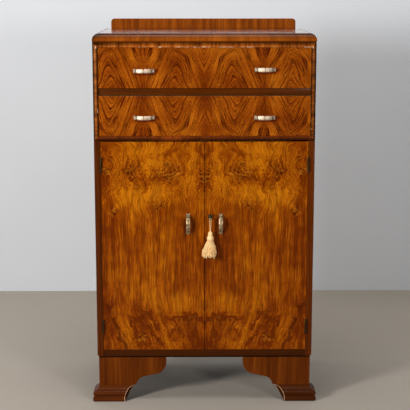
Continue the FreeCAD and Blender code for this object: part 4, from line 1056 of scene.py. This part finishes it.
handleSettings = {
    "length": 72.0, "width": 14.5, "reach": 21.0, "thickness": 4.5, "crown": 1.6, "groove": 1.6, "screwSpacing": 63.0,
    # the ribs on one half of the bow, in degrees from its middle; the other half is the mirror
    "ribs": [(62.0, 52.5), (47.4, 43.0), (37.9, 1.8)],
    # radius and depth of the turned feet
    "foot": [(4.9, 0.0), (4.9, -0.6), (4.4, -1.1), (4.0, -1.5), (3.9, -6.5)],
    # body, node, whether it stands upright, metal and the places of the handles
    "sets": [("drawer_upper", "drawer_upper_handles", False, agedNickel, [(-207, 1177.5), (207, 1181.5)]),
             ("drawer_lower", "drawer_lower_handles", False, agedNickel, [(-207, 1018), (207, 1018)]),
             ("door_left", "door_left_handle", True, doorNickelPaintedShade, [(-57, 646)]),
             ("door_right", "door_right_handle", True, doorNickelPaintedShade, [(57, 646)])]}


def handlePoints():
    # a crowned section carried round the bow's arc. The section shrinks in the grooves between the ribs, and
    # what would pass into the wall is laid flat against it. Returns x along, y out of the wall and z across.
    s = handleSettings
    outer = ((s["length"] / 2) ** 2 + s["reach"] ** 2) / (2 * s["reach"])
    ribs = s["ribs"] + [(-b, -a) for a, b in s["ribs"]]
    marks = sorted(mark for a, b in ribs for mark in (
        (a + 0.25, 0.0), (a - 0.25, 0.75), (a - 1.0, 1.0), (b + 1.0, 1.0), (b + 0.25, 0.75), (b - 0.25, 0.0)))
    angles = np.unique(np.concatenate([[mark[0] for mark in marks], np.linspace(-66, 66, 133)]))[:, None]
    rib = np.interp(angles, *zip(*marks))
    shrink = s["groove"] * (1 - np.clip(rib + 0.55 * hump(angles, 0, 1.3), 0, 1))
    # the section: |cos|^0.45 across and |sin|^0.7 out
    turn = np.linspace(0, circle, 28, endpoint=False)
    across = np.sign(np.cos(turn)) * np.abs(np.cos(turn)) ** 0.45
    out = np.sign(np.sin(turn)) * np.abs(np.sin(turn)) ** 0.7
    radius = outer + (out - 1) * s["thickness"] / 2 - (shrink + s["crown"] * 0.5 * across ** 2) * (out > 0)
    x = radius * np.sin(np.radians(angles))
    y = np.minimum(outer - s["reach"] - radius * np.cos(np.radians(angles)), 0.0)
    groove = 1 - np.clip(rib + 0.7 * hump(angles, 0, 2.4), 0, 1) + 0 * x
    return x, y, (s["width"] / 2 - shrink) * across, groove


def makeHandle(name, node, body, places, upright, metal):
    # all the handles of one body, each with two turned feet against the wall
    s = handleSettings
    turn = np.linspace(0, circle, 24, endpoint=False)
    radius, level = np.array(s["foot"]).T[..., None]
    parts = [handlePoints()]
    for sign in (-1, 1):
        footX = sign * s["screwSpacing"] / 2 + radius * np.cos(turn)
        parts.append((footX, level + 0 * footX, radius * np.sin(turn), 0.35 + 0 * footX))
    points, faces, grooves, total = [], [], [], 0
    for cx, cz in places:
        for x, y, z, groove in parts:
            made = metres(cx + z, y - veneer, cz - x) if upright else metres(cx + x, y - veneer, cz + z)
            points.append(made.reshape(-1, 3))
            grooves.append(groove.ravel())
            faces += tubeFaces(*x.shape, total)
            total += x.size
    addPiece(name, np.concatenate(points), faces, body, [metal], (node,), {"groove": np.concatenate(grooves)},
             angle=32, merge=False)


for body, node, upright, metal, places in handleSettings["sets"]:
    makeHandle(camelCase(node), node, body, places, upright, metal)
print("handles made")


# Keyhole plate on the right door

plateSettings = {"x": 20.0, "z": 669.0, "across": 7.4, "up": 12.2, "thickness": 1.0,
                 "holeRise": 6.0, "holeRadius": 3.2, "slot": 4.0}


def makePlate():
    # an oval plate with eased edges on the veneer; its keyhole is round, with a slot that reaches farther down
    s = plateSettings
    turn = np.linspace(0, circle, 96, endpoint=False)
    hole = s["holeRadius"] + s["slot"] * hump(turn, 1.5 * math.pi, 0.25)
    inside = np.stack([hole * np.cos(turn), hole * np.sin(turn) + s["holeRise"]], -1)
    outside = np.stack([s["across"] * np.cos(turn), s["up"] * np.sin(turn)], -1)
    w = np.array([0, 0, 0.06, 0.5, 0.93, 1, 1])[:, None, None]
    depth = np.array([0, 0.8, 1, 1, 1, 0.7, 0])[:, None] * s["thickness"]
    rings = inside + w * (outside - inside)
    groove = np.array([1, 1, 0.9, 0.1, 0, 0.6, 1])[:, None] + 0 * turn
    addPiece("keyholePlate", metres(s["x"] + rings[..., 0], -veneer - depth, s["z"] + rings[..., 1]),
             gridFaces(7, 96, wrapRows=True, wrapCols=True).tolist(), "door_right", [keySteel], ("keyhole_escutcheon",),
             {"groove": groove})


makePlate()


# Tassel on the key, about an upright axis

tasselSettings = {"x": 20.0, "y": -18.0, "top": 623.0, "headHeight": 32.2, "skirtTop": 594.0, "skirtHeight": 60.0,
                  "strands": 300, "rings": 14, "strandRadius": 0.70, "neck": 9.0, "flare": 25.5, "lean": 4.5,
                  "flatness": 0.56, "coreNeck": 7.6, "coreFlare": 21.5, "coreHeight": 55.0}
cordSettings = {
    # the radius is in metres; spread is a share of the span and half the loop's width there, in millimetres
    "radius": 0.0010, "spread": [(0.0, 1.25), (0.22, 1.35), (0.46, 1.75), (0.68, 2.35)], "bend": 2.7,
    "shoulder": 0.86, "span": 46.5}


def onAxis(x, y, z):
    # x and y from the tassel's axis, in millimetres, to points in metres
    return metres(tasselSettings["x"] + x, tasselSettings["y"] + y, z)


def makeCord():
    # a loop in one upright plane: up the left side, round the key's bow and down the right side
    s = cordSettings
    rise = [(-x, share * s["span"]) for share, x in s["spread"]]
    rise += [(-s["bend"], s["shoulder"] * s["span"]), (-s["bend"], s["span"])]
    route = rise + [(-x, z) for x, z in reversed(rise)]
    curve = bpy.data.curves.new("tasselCord", "CURVE")
    curve.dimensions = "3D"
    curve.bevel_depth = s["radius"]
    curve.bevel_resolution = 4
    curve.resolution_u = 16
    curve.use_fill_caps = True
    spline = curve.splines.new("NURBS")
    spline.points.add(len(route) - 1)
    for point, (x, z) in zip(spline.points, route):
        point.co = (*onAxis(x, 0, tasselSettings["top"] + z), 1)
    spline.order_u = 3
    spline.use_endpoint_u = True
    curve.materials.append(tasselCord)
    leaves = onAxis(route[0][0], 0, tasselSettings["top"])
    return addObject("tasselCord", curve, "tassel", ("tassel_cord",)), tuple(leaves.tolist())


def makeHead():
    # a turned shape wound with thread: the radius follows the mould, and ridges of one thread's width run
    # round it in a slant
    level = [0, 0.6, 2, 5, 8.2, 11.5, 14, 15.2, 16.2, 18.5, 22.2, 26, 29, 31, 32.2]
    radius = [1.4, 3.0, 4.8, 7.0, 7.9, 8.0, 7.6, 7.4, 7.9, 9.9, 11.4, 11.8, 11.0, 9.8, 9.0]
    h = np.linspace(0, 1, 90) * tasselSettings["headHeight"]
    base = np.convolve(np.pad(np.interp(h, level, radius), 2, mode="edge"), np.ones(5) / 5, "valid")
    t, h = np.meshgrid(np.linspace(0, circle, 160, endpoint=False), h)
    threads = 0.32 * np.abs(np.sin(26 * t + h * 0.35)) + 0.12 * np.sin(9 * t - h * 0.6)
    wrap = hump(h, 15.4, 1.6)
    rad = base[:, None] + threads * (1 - wrap) + wrap * (0.8 + 0.35 * np.abs(np.sin(h * 3.2)))
    points = onAxis(rad * np.cos(t), rad * np.sin(t), tasselSettings["top"] - h)
    return addPiece("tasselHead", points, tubeFaces(*t.shape), "tassel", [tasselThread], ("tassel_head",), angle=60)


def swollen(t):
    # how far the bell of the skirt has opened at a share of its height
    return np.sin(0.5 * math.pi * np.minimum(1, 1.12 * t)) ** 1.2


def skirtCore():
    # a closed bell a little inside the strands, so that no light shows through them
    s = tasselSettings
    turn = np.linspace(0, circle, 60, endpoint=False)
    t = np.linspace(0, 1, 16)[:, None]
    radius = s["coreNeck"] + (s["coreFlare"] - s["coreNeck"]) * swollen(t) + 0.5 * np.sin(23 * turn) * t
    points = onAxis(radius * np.cos(turn) - s["lean"] * t, radius * np.sin(turn) * s["flatness"],
                    s["skirtTop"] - 1 - s["coreHeight"] * t)
    return points.reshape(-1, 3), points.shape[:2]


def makeSkirt():
    # strands of thread, each a thin five-sided tube from under the collar. A strand leaves at an angle round
    # the neck, falls outwards along a bell and wavers; its length differs a little from the next one's.
    s = tasselSettings
    rng = np.random.default_rng(7)
    count, rings, sides = s["strands"], s["rings"], 5
    phi = rng.uniform(0, circle, (count, 1))
    share = np.sqrt(rng.uniform(0.05, 1.0, (count, 1)))
    length = s["skirtHeight"] + rng.normal(0, 2.6, (count, 1))
    waves = rng.uniform(0, 6.28, (2, count, 1))
    crimp = 0.7 + 0.5 * rng.uniform(0, 1, (count, 1))
    t = np.linspace(0, 1, rings)
    dx, dy = (crimp * np.sin(t * rng.uniform(12, 26, (count, 1)) + wave) * np.minimum(1, 4 * t) for wave in waves)
    thick = s["strandRadius"] * (0.8 + 0.5 * rng.uniform(0, 1, (count, 1)))[..., None]
    swell = swollen(t) - 0.05 * np.maximum(0, t - 0.88) / 0.12
    flare = share * (s["neck"] + (s["flare"] - s["neck"]) * swell)
    cx = flare * np.cos(phi) + dx - s["lean"] * t
    cy = np.clip(flare * np.sin(phi) * s["flatness"] + dy, -14.2, 14.2)
    turn = np.linspace(0, circle, sides, endpoint=False)
    points = onAxis(cx[..., None] + thick * np.cos(turn), cy[..., None] + thick * np.sin(turn),
                    (s["skirtTop"] - length * t)[..., None])
    starts = np.arange(count)[:, None] * rings * sides
    faces = (gridFaces(rings, sides, wrapCols=True)[None] + starts[..., None]).reshape(-1, 4).tolist()
    for ring in (0, rings - 1):
        faces += (starts + ring * sides + np.arange(sides)).tolist()
    core, coreShape = skirtCore()
    faces += tubeFaces(*coreShape, count * rings * sides)
    return addPiece("tasselSkirt", np.concatenate([points.reshape(-1, 3), core]), faces, "tassel", [tasselThread],
                    ("tassel_skirt",), angle=80, merge=False)


cordPiece, cordExit = makeCord()
head = makeHead()
makeSkirt()
print("tassel made")


# Floor, backdrop and light

stageSettings = {"half": 6, "wall": 1.3, "height": 5, "floor": (0.42, 0.37, 0.31), "backdrop": (0.70, 0.72, 0.75)}


def stagePiece(name, corners):
    # a flat sheet whose paint is faintly uneven
    mesh = bpy.data.meshes.new(name)
    mesh.from_pydata(corners, [], [(0, 1, 2, 3)])
    material, shader, place = newMaterial(name + "Paint")
    shade = calc("MULTIPLY_ADD", noise(place, 3.0, 3), 0.06, 0.97)
    setInputs(shader, {"Base Color": shaded(stageSettings[name], shade), "Roughness": 0.7, "Specular IOR Level": 0.2})
    mesh.materials.append(material)
    addObject(name, mesh)


half, wall, height = (stageSettings[key] for key in ("half", "wall", "height"))
stagePiece("floor", [(-half, -half, 0), (half, -half, 0), (half, wall, 0), (-half, wall, 0)])
stagePiece("backdrop", [(-half, wall, 0), (half, wall, 0), (half, wall, height), (-half, wall, height)])

lampSettings = {  # place, aim, size and power
    "leftLamp": ((-2.7, -2.8, 1.60), (0, faceY, 0.95), 0.8, 128),
    "rightLamp": ((1.9, -3.4, 1.55), (0, faceY, 0.95), 0.6, 38),
    "wallLamp": ((0.0, -0.6, 3.6), (0, wall, 1.4), 1.6, 43),
    "backLeftLamp": ((-2.6, 0.8, 1.6), (0, 0.2, 0.6), 0.8, 6),
    "backRightLamp": ((2.6, 0.8, 1.6), (0, 0.2, 0.6), 0.8, 6),
}
for name, (place, aim, size, power) in lampSettings.items():
    data = bpy.data.lights.new(name, "AREA")
    data.shape, data.size, data.energy = "DISK", size, power
    lamp = addObject(name, data)
    lamp.location = place
    x, y, z = np.subtract(aim, place)
    lamp.rotation_euler = (math.atan2(math.hypot(x, y), -z), 0, math.atan2(-x, y))

world = bpy.data.worlds.new("studio")
scene.world = world
world.use_nodes = True
setInputs(world.node_tree.nodes["Background"], {0: (0.93, 0.96, 1.0, 1), 1: 0.05})
print("studio lit")
